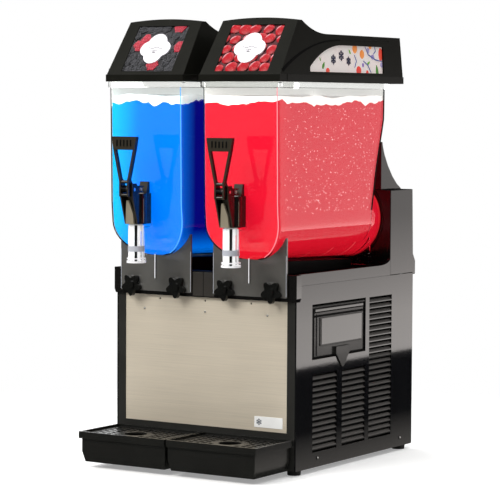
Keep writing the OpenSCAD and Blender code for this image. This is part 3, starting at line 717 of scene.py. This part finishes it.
def nozzle_painted_light(side):
    """Painted highlights of the clear nozzle, as milky vanes, a middle ring and a foot inside it, and painted
    shade as the dark slot between two vanes.
    """
    x = MIDDLE[side]
    spans = ((-150, -70), (-46, -22), (-8, -3), (8, 12), (110, 150))
    vanes = [sector(x, 12.4, 14.2, 382, 447, a0, a1) for a0, a1 in spans]
    vanes += [sector(x, 17.0, 17.9, 378.1, 381.5, 0, 360, 40), sector(x, 17.0, 17.4, 385, 387.2, 0, 360, 40)]
    nozzle = f"tap_nozzle_{side}"
    fitted(joined(f"nozzle_painted_light_{side}", vanes), nozzle, MILKY_HIGHLIGHT, 50, shadow=False)
    fitted(sector(x, 12.2, 14.0, 381, 447, -67, -49), nozzle, FLAP_DARK).name = f"nozzle_slot_{side}"
    fitted(sector(x, 15.0, 15.5, 399, 409, 0, 360, 40), nozzle, GREY_HIGHLIGHT).name = f"nozzle_ring_{side}"
    # Thin pale ribs on the sleeve: painted highlights.
    edges = [sector(x, 19.0, 19.5, 452, 493, -46, -42), sector(x, 19.0, 19.5, 452, 496, -14, -11)]
    fitted(joined(f"sleeve_ribs_{side}", edges), f"tap_body_{side}", RIB_HIGHLIGHT)


# Pale colours for painted highlights: the tap rib, milky and frosted ones; the last two also glow.
RIB_HIGHLIGHT = moulded("tap_rib_highlight", (0.30, 0.26, 0.19), rough=0.2, relief=0.03)
MILKY_HIGHLIGHT = flat_colour("milky_highlight", (0.88, 0.88, 0.90), glow=0.3, rough=0.2)
# Lighter than the deck: a painted sheen on its front face, which is painted light.
DECK_LIP = moulded("deck_lip_painted_light", (0.032, 0.028, 0.024), rough=0.35, relief=0.03)
GREY_HIGHLIGHT = flat_colour("grey_highlight", (0.50, 0.52, 0.58), glow=0.1, rough=0.3)


def plate_crease_highlight(side):
    """A painted highlight on the edge of the rib down the middle of the clamp plate."""
    x = MIDDLE[side]
    rib = bevel(block(f"plate_crease_highlight_{side}", (x - 1.0, x + 0.7), (-12.25, -11.9), (346, 391)), 0.1)
    fitted(rib, f"clamp_plate_{side}", MILKY_HIGHLIGHT)


def louvre_shade_sheets(side):
    """Near-black sheets that stand behind the louvres: painted shade in the openings."""
    s = SIDES[side]
    parts = []
    for y, z in (((56, 159), (34, 186)), ((160, 259), (34, 186)), ((260, 366), (34, 314))):
        parts.append(block("screen", sorted((s * (HALF_W - 12.6), s * (HALF_W - 12.0))), y, z))
    fitted(joined(f"louvre_shade_sheets_{side}", parts), f"side_panel_{side}", FLAP_DARK)


def flap_details():
    """The flap's raised centre plate, its outer steps and gaps painted near-black as painted shade, and the bar
    of its hinge.
    """
    shallow, deep = (-2.6, -1.9), (-2.6, -2.0)
    for name, y, z, rise, material in (
            ("centre", (90, 237), (231.5, 279.5), (-1.2, -0.5), FLAP),
            ("step_front", (56.5, 66), (208.5, 301), deep, FLAP_DARK),
            ("step_inner", (72, 76), (212, 288), (-2.6, -2.2), FLAP_DARK),
            ("step_rear", (245, 249.5), (208.5, 301), deep, FLAP_DARK),
            ("gap_upper", (66, 245), (297.5, 301.5), shallow, FLAP_DARK),
            ("gap_middle", (66, 245), (290.5, 292.5), shallow, FLAP_DARK),
            ("gap_lower", (66, 245), (282.5, 286.5), shallow, FLAP_DARK),
            ("gap_bottom_front", (66, 137), (208.5, 211), shallow, FLAP_DARK),
            ("gap_bottom_rear", (188, 245), (208.5, 211), shallow, FLAP_DARK),
            ("hinge_bar", (68, 243), (292.8, 297.2), (-2.6, -0.9), FLAP)):
        plate = block(f"flap_{name}", (HALF_W + rise[0], HALF_W + rise[1]), y, z)
        fitted(bevel(plate, 0.25), "control_flap", material)


SWEEP_R = 418


def lid_grooves():
    """The dark sweep over the side window of each lid: a near-black strip, the painted shade of the groove
    there.
    """
    lean = math.atan(5.5 / (825 - 722))
    for side, s in SIDES.items():
        place = (Matrix.Translation(pt(s * (BOWL_X + 85.5), 0, 722)) @ Matrix.Rotation(-s * lean, 4, "Y")
                 @ Matrix(((0, 0, s, 0), (1, 0, 0, 0), (0, 1, 0, 0), (0, 0, 0, 1))))
        upper, lower = [], []
        for k in range(21):
            a = math.radians(90 + 30 * k / 20)
            inner = SWEEP_R - (1.4 + 5.6 * (k / 20) ** 1.5)
            upper.append((168 + SWEEP_R * math.cos(a), -352 + SWEEP_R * math.sin(a)))
            lower.append((168 + inner * math.cos(a), -352 + inner * math.sin(a)))
        fitted(prism(f"lid_sweep_{side}", upper + lower[::-1], (-0.9, 0.35), place), f"lid_{side}", FLAP_DARK)


for side in SIDES:
    paddle_ridges(side)
    tap_wedge(side)
    nozzle_painted_light(side)
for side in SIDES:
    plate_crease_highlight(side)
    louvre_shade_sheets(side)
flap_details()
lid_grooves()

# ---------------------------------------------------------------- bowls and drink

BOWL_HALF = 81.0
WALL = 2.4
TROUGH_R = 67.0
TROUGH_FRONT = 22
TROUGH_SLOPE = 10 / 319
DRINK_Z, FROST_Z = 672, 684
REAR_LINE = [(300, 386), (300, 470), (308, 503), (315, 541), (330, 594), (344, 640), (345, 760)]


def front_wall(z, t):
    """Front of the bowl at height z: a rounded foot under a face that leans out to the rim."""
    if z < 455:
        reach = max(0.0, 1 - ((455 - z) / (69 - t)) ** 2)
        return 3 - (42 - t) * math.sqrt(reach)
    if z < 482:
        return -39 - 3 * (z - 455) / 27 + t
    return -42 - 4 * (z - 482) / 227 + t


def rear_wall(z, t):
    """Rear of the bowl, its kinked line smoothed over 16 mm of height."""
    total = 0.0
    for step in range(-4, 5):
        level = min(max(z + 2 * step, 386), 759)
        for (y0, z0), (y1, z1) in zip(REAR_LINE, REAR_LINE[1:]):
            if z0 <= level <= z1:
                total += y0 + (y1 - y0) * (level - z0) / (z1 - z0)
                break
    return total / 9 - t


def bowl_ring(x, z, t):
    """One level of the bowl, t inside its outer face."""
    half = BOWL_HALF - t
    if z < AXIS_Z:
        half *= math.sqrt(max(0.0, 1 - ((AXIS_Z - z) / (TROUGH_R - t)) ** 2))
    y0, y1 = front_wall(z, t), rear_wall(z, t)
    r = min(7.0 - t, 0.7 * half + 0.001)
    return rounded_ring(x - half, x + half, y0, y1, z, max(r, 0.001), steps=7)


def bowl_levels(t, top):
    low = [AXIS_Z - (TROUGH_R - t) * math.sin(math.radians(90 - 6 * i)) for i in range(15)]
    return low + [AXIS_Z + (top - AXIS_Z) * i / 30 for i in range(31)]


def trough(name, x, t, rear):
    """The round trough behind the bowl's front, as a slightly widening drum with a soft rear edge."""
    y0, y1, r = TROUGH_FRONT, rear, TROUGH_R - t
    profile = [(0, y0), (r, y0), (r + TROUGH_SLOPE * (y1 - y0 - 8), y1 - 8),
               (r + TROUGH_SLOPE * (y1 - y0) - 1.5, y1 - 3), (r + TROUGH_SLOPE * (y1 - y0) - 5, y1), (0, y1)]
    return lathe(name, profile, turned(pt(x, 0, AXIS_Z), -90, "X"), 72)


def bowl(side):
    x = MIDDLE[side]
    outer = loft(f"bowl_{side}_clear", [bowl_ring(x, z, 0) for z in bowl_levels(0, RIM_TOP - 5)])
    boolean(outer, trough("outer_trough", x, 0, 341), "UNION")
    out_left, out_right = (87, 85.8) if side == "right" else (85.8, 87)
    rim = loft("rim", [rounded_ring(x - out_left, x + out_right, -48, 355, z, 9, 8) for z in (698, RIM_TOP)])
    boolean(outer, bevel(rim, 1.2), "UNION")
    foot = [(-62, 364.2), (62, 364.2), (68, 374), (68, 432), (-68, 432), (-68, 374)]
    boolean(outer, bevel(prism("foot", foot, (0, 5), turned(pt(x, 313, 0), 90, "X")), 0.8), "UNION")
    inner = loft("inner", [bowl_ring(x, z, WALL) for z in bowl_levels(WALL, RIM_TOP + 10)])
    boolean(outer, inner, "DIFFERENCE")
    boolean(outer, trough("inner_trough", x, WALL, 352), "DIFFERENCE")
    port = lathe("port", [(0, 24), (11, 24), (11, 60), (0, 60)], turned(pt(x, 0, 452), 90, "X"), 32)
    boolean(outer, port, "DIFFERENCE")
    return stands_for(outer, f"bowl_{side}", BOWL, angle=30, shadow=False)


def drink_top(x, y, phase):
    """Height of the drink where it meets the frost: long swells with short broken lumps."""
    place = Vector((x * 0.028 + phase, y * 0.028, phase))
    swells = 9 * noise.noise(place * 0.6) + 6 * noise.noise(place * 1.9) + 3 * noise.noise(place * 4.1)
    return DRINK_Z + swells


def frost_top(x, y, phase):
    place = Vector((x * 0.013 - phase, y * 0.013, 7 + phase))
    crest = FROST_Z + 5 * noise.noise(place) + 1.6 * noise.noise(place * 5)
    return max(drink_top(x, y, phase) + 1.5, crest)


def capped(rings, steps, x, height_of):
    """Adds shrinking rings over the last one, so that the top can swell; rings are (x, y, z) in millimetres."""
    edge = rings[-1]
    middle_y = sum(p[1] for p in edge) / len(edge)
    for k in range(1, steps + 1):
        share = 1 - k / (steps + 0.5)
        ring = []
        for px, py, _ in edge:
            qx, qy = x + (px - x) * share, middle_y + (py - middle_y) * share
            ring.append((qx, qy, height_of(qx, qy)))
        rings.append(ring)
    return rings


def in_mm(ring):
    return [((p.x) / MM, (p.y - FACE_Y) / MM, p.z / MM) for p in ring]


def dense(ring):
    """A ring with steps along its sides, so that its height can vary. Every ring gets the same count."""
    points = in_mm(ring)
    corner = len(points) // 4
    out = []
    for c in range(4):
        arc = points[c * corner:(c + 1) * corner]
        nxt = points[(c + 1) * corner % len(points)]
        steps = 24 if c % 2 == 0 else 44
        out += arc
        a = arc[-1]
        out += [tuple(a[i] + (nxt[i] - a[i]) * k / steps for i in range(3)) for k in range(1, steps)]
    return out


def drink(side, material, phase):
    x = MIDDLE[side]
    t = WALL + 0.3
    wall = [dense(bowl_ring(x, z, t)) for z in bowl_levels(t, 640)]
    edge = dense(bowl_ring(x, 655, t))
    for share in (0.4, 0.8, 1.0):
        wall.append([(px, py, 640 + (drink_top(px, py, phase) - 640) * share) for px, py, _ in edge])
    wall = capped(wall, 8, x, lambda px, py: drink_top(px, py, phase))
    body = loft(f"drink_{side}", [[pt(*p) for p in ring] for ring in wall])
    boolean(body, trough("drink_trough", x, t, 338), "UNION")
    return piece(body, material, "cabinet", angle=50)


def frost(side, material, phase):
    x = MIDDLE[side]
    t = WALL + 0.3
    edge = dense(bowl_ring(x, 675, t))
    low = [(px, py, drink_top(px, py, phase) - 0.4) for px, py, _ in edge]
    high = [(px, py, frost_top(px, py, phase)) for px, py, _ in edge]
    mid = [tuple((a[i] + b[i]) / 2 for i in range(3)) for a, b in zip(low, high)]
    rings = capped([low, mid, high], 9, x, lambda px, py: frost_top(px, py, phase) - 1.0)
    under = capped([low], 9, x, lambda px, py: drink_top(px, py, phase) - 0.4)[1:]
    rings = under[::-1] + rings
    body = loft(f"frost_{side}", [[pt(*p) for p in ring] for ring in rings])
    return piece(body, material, "cabinet", angle=60)


def bubbles(side, material, count, seed):
    """Small air bubbles and ice grains that stand at the wall, most of them on the broad side."""
    dice = random.Random(seed)
    x = MIDDLE[side]
    parts = []
    for _ in range(count):
        z = dice.uniform(470, 664)
        y = dice.uniform(front_wall(z, 0) + 24, rear_wall(z, 0) - 20)
        r = dice.choice((0.35, 0.5, 0.6, 0.9))
        place = turned(pt(x + SIDES[side] * (BOWL_HALF - WALL - 0.35), y, z), 90 * SIDES[side], "Y")
        outline = []
        for i in range(10):
            a = math.pi * i / 5
            outline.append((r * math.cos(a), r * dice.uniform(0.9, 1.6) * math.sin(a)))
        parts.append(dome(outline, (0, 0, 0), 0.3, place, 2))
    return piece(merged(f"bubbles_{side}", parts), material, "cabinet")


# Both glow (painted light); sides paint shade, darkest on the two sides that face each other.
BLUE = slush("blue_ice", (0.0, 0.19, 1.0), (0.0, 0.50, 1.0), (0.0, 0.21, 1.0), (0.0, 0.34, 1.0),
             (-0.186, -0.085), ((0.7, 0.6, 0.9), (0.1, 0.012, 0.20)), 1.12)
RED = slush("red_ice", (0.86, 0.004, 0.026), (0.88, 0.010, 0.045), (0.98, 0.006, 0.018), (0.94, 0.155, 0.215),
            (0.018, 0.04), ((0.04, 0.04, 0.04), (0.84, 0.80, 0.88)), 0.93)
BLUE_FROST = frosty("pale_blue_frost", (0.93, 0.98, 1.0), (0.62, 0.86, 0.98))
RED_FROST = frosty("pale_frost", (1.0, 0.97, 0.95), (0.9, 0.8, 0.8))
# These glow, which is painted light; the two glints are painted highlights down the bowls' front corners.
FILM = flat_colour("frost_film", (0.97, 0.98, 0.96), glow=0.42, rough=0.5)
BLUE_GLINT = flat_colour("blue_glint", (0.10, 0.42, 1.0), glow=0.75)
RED_GLINT = flat_colour("red_glint", (0.95, 0.30, 0.36), glow=0.6)
BUBBLE = flat_colour("bubble_white", (1.0, 0.86, 0.88), glow=0.45)


def strip(x, z, outside, inside, turn):
    """One level of a thin strip that follows the bowl's wall; turn picks points of the bowl's ring."""
    face, under = bowl_ring(x, z, outside), bowl_ring(x, z, inside)
    return [face[i] for i in turn] + [under[i] for i in reversed(turn)]


def bowl_edge(name, side, turn, levels, material, lead=0.0):
    """A painted line down a corner of the bowl: with a dark material a painted dark edge, with a glint material
    a painted highlight. lead carries the line that much further forward along the side."""
    x = MIDDLE[side]
    rings = []
    for z in levels:
        ring = strip(x, z, -0.25, 0.1, turn)
        if lead:
            forward = Vector((0, -lead * MM, 0))
            ring = [ring[0] + forward] + ring + [ring[-1] + forward]
        rings.append(ring)
    fitted(loft(name, rings), f"bowl_{side}", material, 60, shadow=False)


def frost_film(side):
    """Thin frost on the inner side and rear walls above the drink."""
    x = MIDDLE[side]
    rings = [strip(x, z, WALL + 0.3, WALL + 0.7, range(1, 22)) for z in (682, 688, 694, 699)]
    piece(loft(f"frost_film_{side}", rings), FILM, "cabinet", 60, shadow=False)


def bowl_shade_block(side):
    """Near-black block on the deck under the bowl's trough: painted shade where shade falls under the bowl."""
    x = MIDDLE[side]
    rings = [[pt(x - 34, y, 358.2), pt(x + 34, y, 358.2), pt(x + 34, y, top), pt(x - 34, y, top)]
             for y, top in ((34, 384), (300, 375.5))]
    fitted(bevel(loft(f"bowl_shade_block_{side}", rings), 1.0), "deck", FLAP_DARK)


def tap_spring(side):
    """The tap's closing spring, which the rising piston presses together under its cap: a copy of its CAD coil
    with a mesh of its own.
    """
    node = f"tap_spring_{side}"
    coil = stands_for(copied(node, node + "_coil"), node, SPRING, 40)
    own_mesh(coil)


def plate_edge_highlights(side):
    """Painted highlights down both side edges of the clamp plate."""
    x = MIDDLE[side]
    parts = [block("edge", (x + a, x + a + 0.8), (-10.2, -9.9), (324, 398)) for a in (-78.3, 77.5)]
    fitted(joined(f"plate_edge_highlights_{side}", parts), f"clamp_plate_{side}", GREY_HIGHLIGHT)


for side in SIDES:
    bowl(side)
    tap_spring(side)
    bowl_shade_block(side)
    plate_edge_highlights(side)
    frost_film(side)
WHOLE = [394 + 8 * i for i in range(9)] + [470 + 19 * i for i in range(13)]
# Painted dark edges on two corners and painted highlights (glints) down both bowls' front-right corners.
bowl_edge("bowl_edge_left", "left", range(17, 23), WHOLE, FLAP_DARK)
bowl_edge("bowl_edge_right", "right", range(0, 4), WHOLE[9:], FLAP_DARK, 3.0)
bowl_edge("bowl_glint_left", "left", range(26, 28), WHOLE, BLUE_GLINT)
bowl_edge("bowl_glint_right", "right", range(26, 28), WHOLE, RED_GLINT)
# Lighter satin strips over the deck's front between the plates: painted light.
for k, span in enumerate(((-23.5, -0.6), (0.6, 23.5))):
    fitted(bevel(block(f"deck_lip_{k + 1}", span, (-5.6, -4.9), (317, 361)), 0.25), "deck", DECK_LIP)
PHASE = {"left": 3.1, "right": 8.6}
drink("left", BLUE, PHASE["left"])
drink("right", RED, PHASE["right"])
frost("left", BLUE_FROST, PHASE["left"])
frost("right", RED_FROST, PHASE["right"])
bubbles("right", BUBBLE, 620, 11)
bubbles("left", BUBBLE, 60, 12)

# ---------------------------------------------------------------- auger marks in the drink


def auger_marks(side, material):
    """Faint arcs where the turning blade has pressed the drink against the trough."""
    x = MIDDLE[side]
    parts = []
    for turn in range(4):
        rings = []
        for k in range(25):
            a = math.radians(-95 + 6.5 * k)
            y = 62 + 66 * turn + 30 * k / 24
            r = TROUGH_R - WALL - 0.2 + TROUGH_SLOPE * (y - TROUGH_FRONT)
            squash = 85 / 67 if math.sin(a) < 0 and y > 330 else 1
            w = 2.2 * math.sin(math.pi * (k + 0.6) / 25.2)
            ring = []
            for dy, dr in ((-w, -0.6), (-w * 0.7, 0.25), (w * 0.7, 0.25), (w, -0.6)):
                across = SIDES[side] * squash * (r + dr) * math.cos(a)
                ring.append(pt(x + across, y + dy, AXIS_Z + (r + dr) * math.sin(a)))
            rings.append(ring)
        parts.append(loft("arc", rings))
    return piece(joined(f"auger_marks_{side}", parts), material, "cabinet")


# ---------------------------------------------------------------- printed panels


def panel_place(node, outward, right):
    """The plane of a node's outer face: its placement (x to the right, y up, z outwards) and its half sizes."""
    mesh = NODES[node].data
    groups = {}
    for p in mesh.polygons:
        if p.normal.dot(outward) > 0.3:
            groups.setdefault(tuple(round(c, 2) for c in p.normal), []).append(p)
    face = max(groups.values(), key=lambda g: sum(p.area for p in g))
    n = face[0].normal.normalized()
    u = (right - right.dot(n) * n).normalized()
    v = n.cross(u)
    points = [mesh.vertices[i].co for p in face for i in p.vertices]
    us, vs, ns = [p.dot(u) for p in points], [p.dot(v) for p in points], [p.dot(n) for p in points]
    centre = u * (min(us) + max(us)) / 2 + v * (min(vs) + max(vs)) / 2 + n * (sum(ns) / len(ns))
    place = Matrix.Translation(centre) @ Matrix((u, v, n)).transposed().to_4x4()
    return place, (max(us) - min(us)) / 2 / MM, (max(vs) - min(vs)) / 2 / MM


def spun(u, v, turn):
    return u * math.cos(turn) - v * math.sin(turn), u * math.sin(turn) + v * math.cos(turn)


def angles(n):
    return [2 * math.pi * i / n for i in range(n)]


def circle(r, n=10, squash=1.0):
    """Points of a circle or, with squash, of an ellipse."""
    return [(r * math.cos(a), r * squash * math.sin(a)) for a in angles(n)]


def heart(r, turn):
    """Outline of a strawberry whose tip points towards turn."""
    out = []
    for a in angles(16):
        reach = r * (1 + 0.28 * max(0.0, math.cos(a)) ** 3 - 0.08 * max(0.0, -math.cos(a)) ** 2)
        out.append((reach * math.cos(a + turn), reach * 0.92 * math.sin(a + turn)))
    return out


def leaf(length, width, turn):
    """Outline of a leaf that points towards turn."""
    return [spun(length * math.cos(a), width * math.sin(a) * (1 - 0.35 * math.cos(a)), turn)
            for a in angles(12)]


def ribbon(points, width, low, high, place):
    """A flat strip along a line of (u, v) points, thinner at both ends."""
    rings = []
    for i, (u, v) in enumerate(points):
        (u0, v0), (u1, v1) = points[max(0, i - 1)], points[min(len(points) - 1, i + 1)]
        side = Vector((v0 - v1, u1 - u0)).normalized() * width / 2
        side *= 0.35 + 0.65 * math.sin(math.pi * (i + 0.5) / len(points))
        corners = ((u - side.x, v - side.y, low), (u + side.x, v + side.y, low),
                   (u + side.x, v + side.y, high), (u - side.x, v - side.y, high))
        rings.append([place @ (Vector(c) * MM) for c in corners])
    return loft("ribbon", rings)


def snowflake(centre, r, width, low, high, place):
    """Six arms with two twigs each."""

    def twig(root, end, share):
        middle = ((root[0] + end[0]) / 2, (root[1] + end[1]) / 2)
        strips.append(ribbon([root, middle, end], width * share, low, high, place))

    strips = []
    for k in range(6):
        a = math.pi / 3 * k + math.pi / 6
        arm = Vector((math.cos(a), math.sin(a)))
        twig(centre, (centre[0] + r * arm.x, centre[1] + r * arm.y), 1.5)
        for turn in (-1, 1):
            b = a + turn * math.pi / 3.2
            root = (centre[0] + 0.55 * r * arm.x, centre[1] + 0.55 * r * arm.y)
            twig(root, (root[0] + 0.36 * r * math.cos(b), root[1] + 0.36 * r * math.sin(b)), 1.3)
    return strips


def kept_in(parts, place, hu, hv):
    """Pulls every point that stands over the panel's edge back onto it."""
    back = place.inverted()
    for verts, _ in parts:
        for i, v in enumerate(verts):
            q = back @ v
            q.x = max(-hu * MM, min(hu * MM, q.x))
            q.y = max(-hv * MM, min(hv * MM, q.y))
            verts[i] = place @ q
    return parts


def badge(side, place, hu, hv):
    """A blank ornate plaque with a small flourish, where a flavour name would be."""
    wide, high = hu * 0.56, hv * 0.62
    outline = []
    for a in angles(72):
        d = Vector((math.cos(a), math.sin(a)))
        reach = 0
        for cx, cy, r in ((0.50, 0, 0.50), (-0.50, 0, 0.50), (0, 0.38, 0.62), (0, -0.38, 0.62)):
            along = cx * d.x + cy * d.y
            reach = max(reach, along + math.sqrt(max(0.0, r * r - cx * cx - cy * cy + along * along)))
        outline.append((wide * reach * d.x, high * reach * d.y))
    piece(prism(f"badge_{side}", outline, (0.2, 3.4), place), BADGE, f"lid_{side}")
    strokes = []
    for v, half, swing in ((1.5, 0.30, 1.8), (-4.5, 0.14, 1.0)):
        line = [(hu * half * t, v + swing * math.sin(5.5 * t + 0.6)) for t in [k / 8 - 1 for k in range(17)]]
        strokes.append(ribbon(line, 1.1, 3.3, 3.7, place))
    for k in (-1, 0, 1):
        outline = leaf(2.6, 1.1, math.pi / 2 - 0.8 * k)
        strokes.append(merged("leaf", [dome(outline, (2.4 * k, -7.8 - 0.6 * abs(k), 3.35), 0.3, place, 2)]))
    piece(joined(f"flourish_{side}", strokes), INK, f"lid_{side}")


def rows(hu, hv, gap, dice, jitter):
    """Staggered centres that cover a panel."""
    out = []
    for j in range(-int(hv / (gap * 0.86)) - 1, int(hv / (gap * 0.86)) + 2):
        for i in range(-int(hu / gap) - 1, int(hu / gap) + 2):
            u = (i + 0.5 * (j % 2)) * gap + dice.uniform(-jitter, jitter)
            v = j * gap * 0.86 + dice.uniform(-jitter, jitter)
            if abs(u) < hu + gap * 0.35 and abs(v) < hv + gap * 0.3:
                out.append((u, v))
    return out


def cluster(centre, r, bead, place, dice):
    """A berry made of beads."""
    parts = []
    for u, v in rows(r, r, bead * 1.55, dice, bead * 0.12):
        d = math.hypot(u, v)
        if d < r - bead * 0.5:
            lift = 0.2 + 1.5 * math.sqrt(max(0.0, 1 - (d / r) ** 2))
            parts.append(dome(circle(bead, 8), (centre[0] + u, centre[1] + v, lift - 0.5), 1.0, place, 2))
    return parts


def front_print(side, seed):
    """The plane of a front display, its half sizes less a margin of 1 mm, and the dice for its print."""
    place, hu, hv = panel_place(f"front_display_{side}", Vector((0, -1, 0)), Vector((1, 0, 0)))
    return place, hu - 1, hv - 1, random.Random(seed)


def display_left():
    """Dark berries with a few red ones, in low relief."""
    place, hu, hv, dice = front_print("left", 5)
    red_at = [(u * hu, v * hv) for u, v in RED_BERRIES]
    dark, red = [], []
    for u, v in rows(hu, hv, 17.5, dice, 1.5):
        if min(math.dist((u, v), r) for r in red_at) > 14:
            dark += cluster((u, v), 9.8, 1.9, place, dice)
    for u, v in red_at:
        red += cluster((u, v), 13.5, 2.5, place, dice)
    for name, parts, material in (("dark_berries", dark, DARK_BERRY), ("raspberries", red, RASPBERRY)):
        piece(merged(name, kept_in(parts, place, hu, hv)), material, "lid_left", 60)
    badge("left", place, hu, hv)


def display_right():
    """Strawberries close together, in low relief."""
    place, hu, hv, dice = front_print("right", 9)
    parts = []
    for u, v in rows(hu, hv, 25.0, dice, 2.6):
        outline = heart(dice.uniform(11.2, 13.8), dice.uniform(0, 2 * math.pi))
        parts.append(dome(outline, (u, v, 0.1 + dice.uniform(0, 0.3)), 3.0, place, 4))
    piece(merged("strawberries", kept_in(parts, place, hu, hv)), STRAWBERRY, "lid_right", 60)
    badge("right", place, hu, hv)


def side_print(side):
    """Fruit and snowflakes on the lit window in the lid's side. u runs towards the back on both lids."""
    node = f"side_display_{side}"
    s = SIDES[side]
    place, hu, hv = panel_place(node, Vector((s, 0, 0)), Vector((0, s, 0)))
    back = 1 if (place @ Vector((1, 0, 0)) - place @ Vector((0, 0, 0))).y > 0 else -1
    body = f"lid_{side}"

    def domes(shapes):
        parts = [dome([(back * u, v) for u, v in outline], (back * at[0] * hu, at[1] * hv, 0.05), 0.5, place, 2)
                 for at, outline in shapes]
        return merged("domes", kept_in(parts, place, hu - 0.8, hv - 0.8))

    groups = (
        ("oranges", ORANGE, [((0.24, 0.72), circle(9.0, 14)), ((0.43, 0.36), circle(8.6, 14)),
                             ((0.66, 0.92), circle(6))]),
        ("red_fruit", CHERRY, [((0.94, 0.40), circle(8.0, 12, 1.6)), ((0.33, -0.72), heart(9.5, 4.6)),
                               ((-0.50, -0.82), heart(6.2, 0.4)), ((0.56, -0.86), circle(5.0))]),
        ("leaves", LEAF, [((-0.60, -0.46), leaf(7.5, 3.8, 1.0)), ((0.83, -0.70), leaf(11.0, 5.0, 1.7)),
                          ((0.10, 0.50), leaf(5.5, 2.5, 2.2)), ((0.60, -0.22), leaf(7.0, 2.6, 0.5)),
                          ((-0.68, -0.06), leaf(4.2, 1.8, 2.0))]),
        ("plums", PLUM, [((0.72, 0.20), circle(7.0, 12, 0.7)), ((0.60, 0.62), circle(5.5)),
                         ((0.96, -0.30), circle(5.5)), ((0.45, -0.36), circle(4.4))]),
    )
    for name, material, shapes in groups:
        piece(domes(shapes), material, body, 60).name = f"{name}_{side}"
    strokes = []
    for points in ([(0.22, 0.30), (0.27, -0.10), (0.22, -0.55)],
                   [(0.52, 0.86), (0.60, 0.35), (0.80, 0.02), (0.97, -0.06)],
                   [(0.46, -0.08), (0.58, -0.36), (0.66, -0.84)],
                   [(0.78, 0.90), (0.80, 0.60), (0.74, 0.40)]):
        line = [(back * u * hu, v * hv) for u, v in points]
        strokes.append(ribbon(line, 2.6, 0.05, 0.58, place))
    piece(joined(f"stalks_{side}", strokes), STALK, body)
    flakes = []
    for u, v, r in ((-0.34, -0.05, 9.5), (-0.13, 0.22, 10.0), (0.06, -0.12, 8.5)):
        flakes += snowflake((back * u * hu, v * hv), r, 1.9, 0.05, 0.6, place)
    piece(joined(f"snowflakes_{side}", flakes), FLAKE, body)


RED_BERRIES = ((-0.48, 0.42), (0.62, 0.93), (0.88, 0.10), (0.10, -0.66), (-0.72, 0.15))
UP_LEFT = (-0.45, -0.45, 0.77)
DARK_BERRY = fruit("dark_berry_print", (0.0, 0.0, 0.001), (0.004, 0.004, 0.007), (0.55, 0.55, 0.60),
                   UP_LEFT)
RASPBERRY = fruit("raspberry_print", (0.05, 0.0, 0.006), (0.62, 0.01, 0.04), (1.0, 0.5, 0.55), UP_LEFT)
STRAWBERRY = fruit("strawberry_print", (0.015, 0.0, 0.001), (0.50, 0.004, 0.014), (1.0, 0.50, 0.55),
                   UP_LEFT, cell=230.0, seed=(0.75, 0.12, 0.1))
BADGE = flat_colour("badge_white", (0.82, 0.80, 0.85), glow=0.12)
INK = flat_colour("badge_ink", (0.16, 0.15, 0.17), glow=0.0)
ORANGE = flat_colour("print_orange", (0.95, 0.20, 0.02), glow=0.3, second=(1.0, 0.38, 0.08))
CHERRY = flat_colour("print_red", (0.85, 0.015, 0.03), glow=0.3, second=(0.95, 0.10, 0.05))
LEAF = flat_colour("print_green", (0.20, 0.50, 0.03), glow=0.25, second=(0.05, 0.25, 0.03))
PLUM = flat_colour("print_purple", (0.25, 0.13, 0.5), glow=0.25, second=(0.5, 0.45, 0.7))
STALK = flat_colour("print_blue", (0.10, 0.14, 0.40), glow=0.2)
FLAKE = flat_colour("print_snowflake", (0.02, 0.025, 0.09), glow=0.0)
WINDOW = flat_colour("print_ground", (0.90, 0.85, 0.82), glow=0.3, second=(0.93, 0.80, 0.78))
DARK_GROUND = flat_colour("print_dark", (0.006, 0.005, 0.008), glow=0.1)
RED_GROUND = flat_colour("print_deep_red", (0.06, 0.002, 0.006), glow=0.2)
# The label's faint glow is painted light.
LABEL = flat_colour("label_white", (0.90, 0.90, 0.89), glow=0.1)
LABEL_MARK = flat_colour("label_grey", (0.20, 0.22, 0.26), glow=0.0)
# The auger marks glow like the drink, which is painted light.
BLUE_ARC = flat_colour("blue_arc", (0.05, 0.32, 1.0), glow=0.5, rough=0.5)
RED_ARC = flat_colour("red_arc", (0.95, 0.07, 0.09), glow=0.55, rough=0.5)

NODES["front_display_left"].data.materials[0] = DARK_GROUND
NODES["front_display_right"].data.materials[0] = RED_GROUND
display_left()
display_right()
for side in SIDES:
    NODES[f"side_display_{side}"].data.materials[0] = WINDOW
    side_print(side)
auger_marks("left", BLUE_ARC)
auger_marks("right", RED_ARC)

# ---------------------------------------------------------------- label and screws


PANEL_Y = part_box("front_panel")[0].y


def label():
    """A plain white label with one snowflake, low on the right of the front panel."""
    place = turned(Vector((0.1385, PANEL_Y, 0.094)), 90, "X")
    plate = bevel(prism("label", [(-30, -10), (30, -10), (30, 10), (-30, 10)], (-0.3, 0.5), place), 0.2)
    fitted(plate, "front_panel", LABEL)
    fitted(joined("label_flake", snowflake((-20, 0), 6.2, 1.1, 0.4, 0.7, place)), "front_panel", LABEL_MARK)


def screw(name, place, r=2.2):
    """A low dome head with a slot across it."""
    profile = [(0, 0.9), (r * 0.5, 0.8), (r * 0.85, 0.5), (r, 0), (r, -0.8), (0, -0.8)]
    head = lathe(name, profile, place, 20)
    slot = block("slot", (-r * 1.2, r * 1.2), (-0.3, 0.3), (0.35, 2), place)
    return boolean(head, slot, "DIFFERENCE")


def screws():
    for i, x in enumerate((-0.135, 0.0, 0.135)):
        place = turned(Vector((x, PANEL_Y, 0.288)), 90, "X")
        fitted(screw(f"panel_screw_{i + 1}", place), "front_panel", SCREW)
    for side, s in SIDES.items():
        for i, y in enumerate((72, 384)):
            place = turned(pt(s * HALF_W, y + 6.5, 25), 90 * s, "Y")
            fitted(screw(f"side_screw_{side}_{i + 1}", place), f"side_panel_{side}", SCREW)


label()
screws()
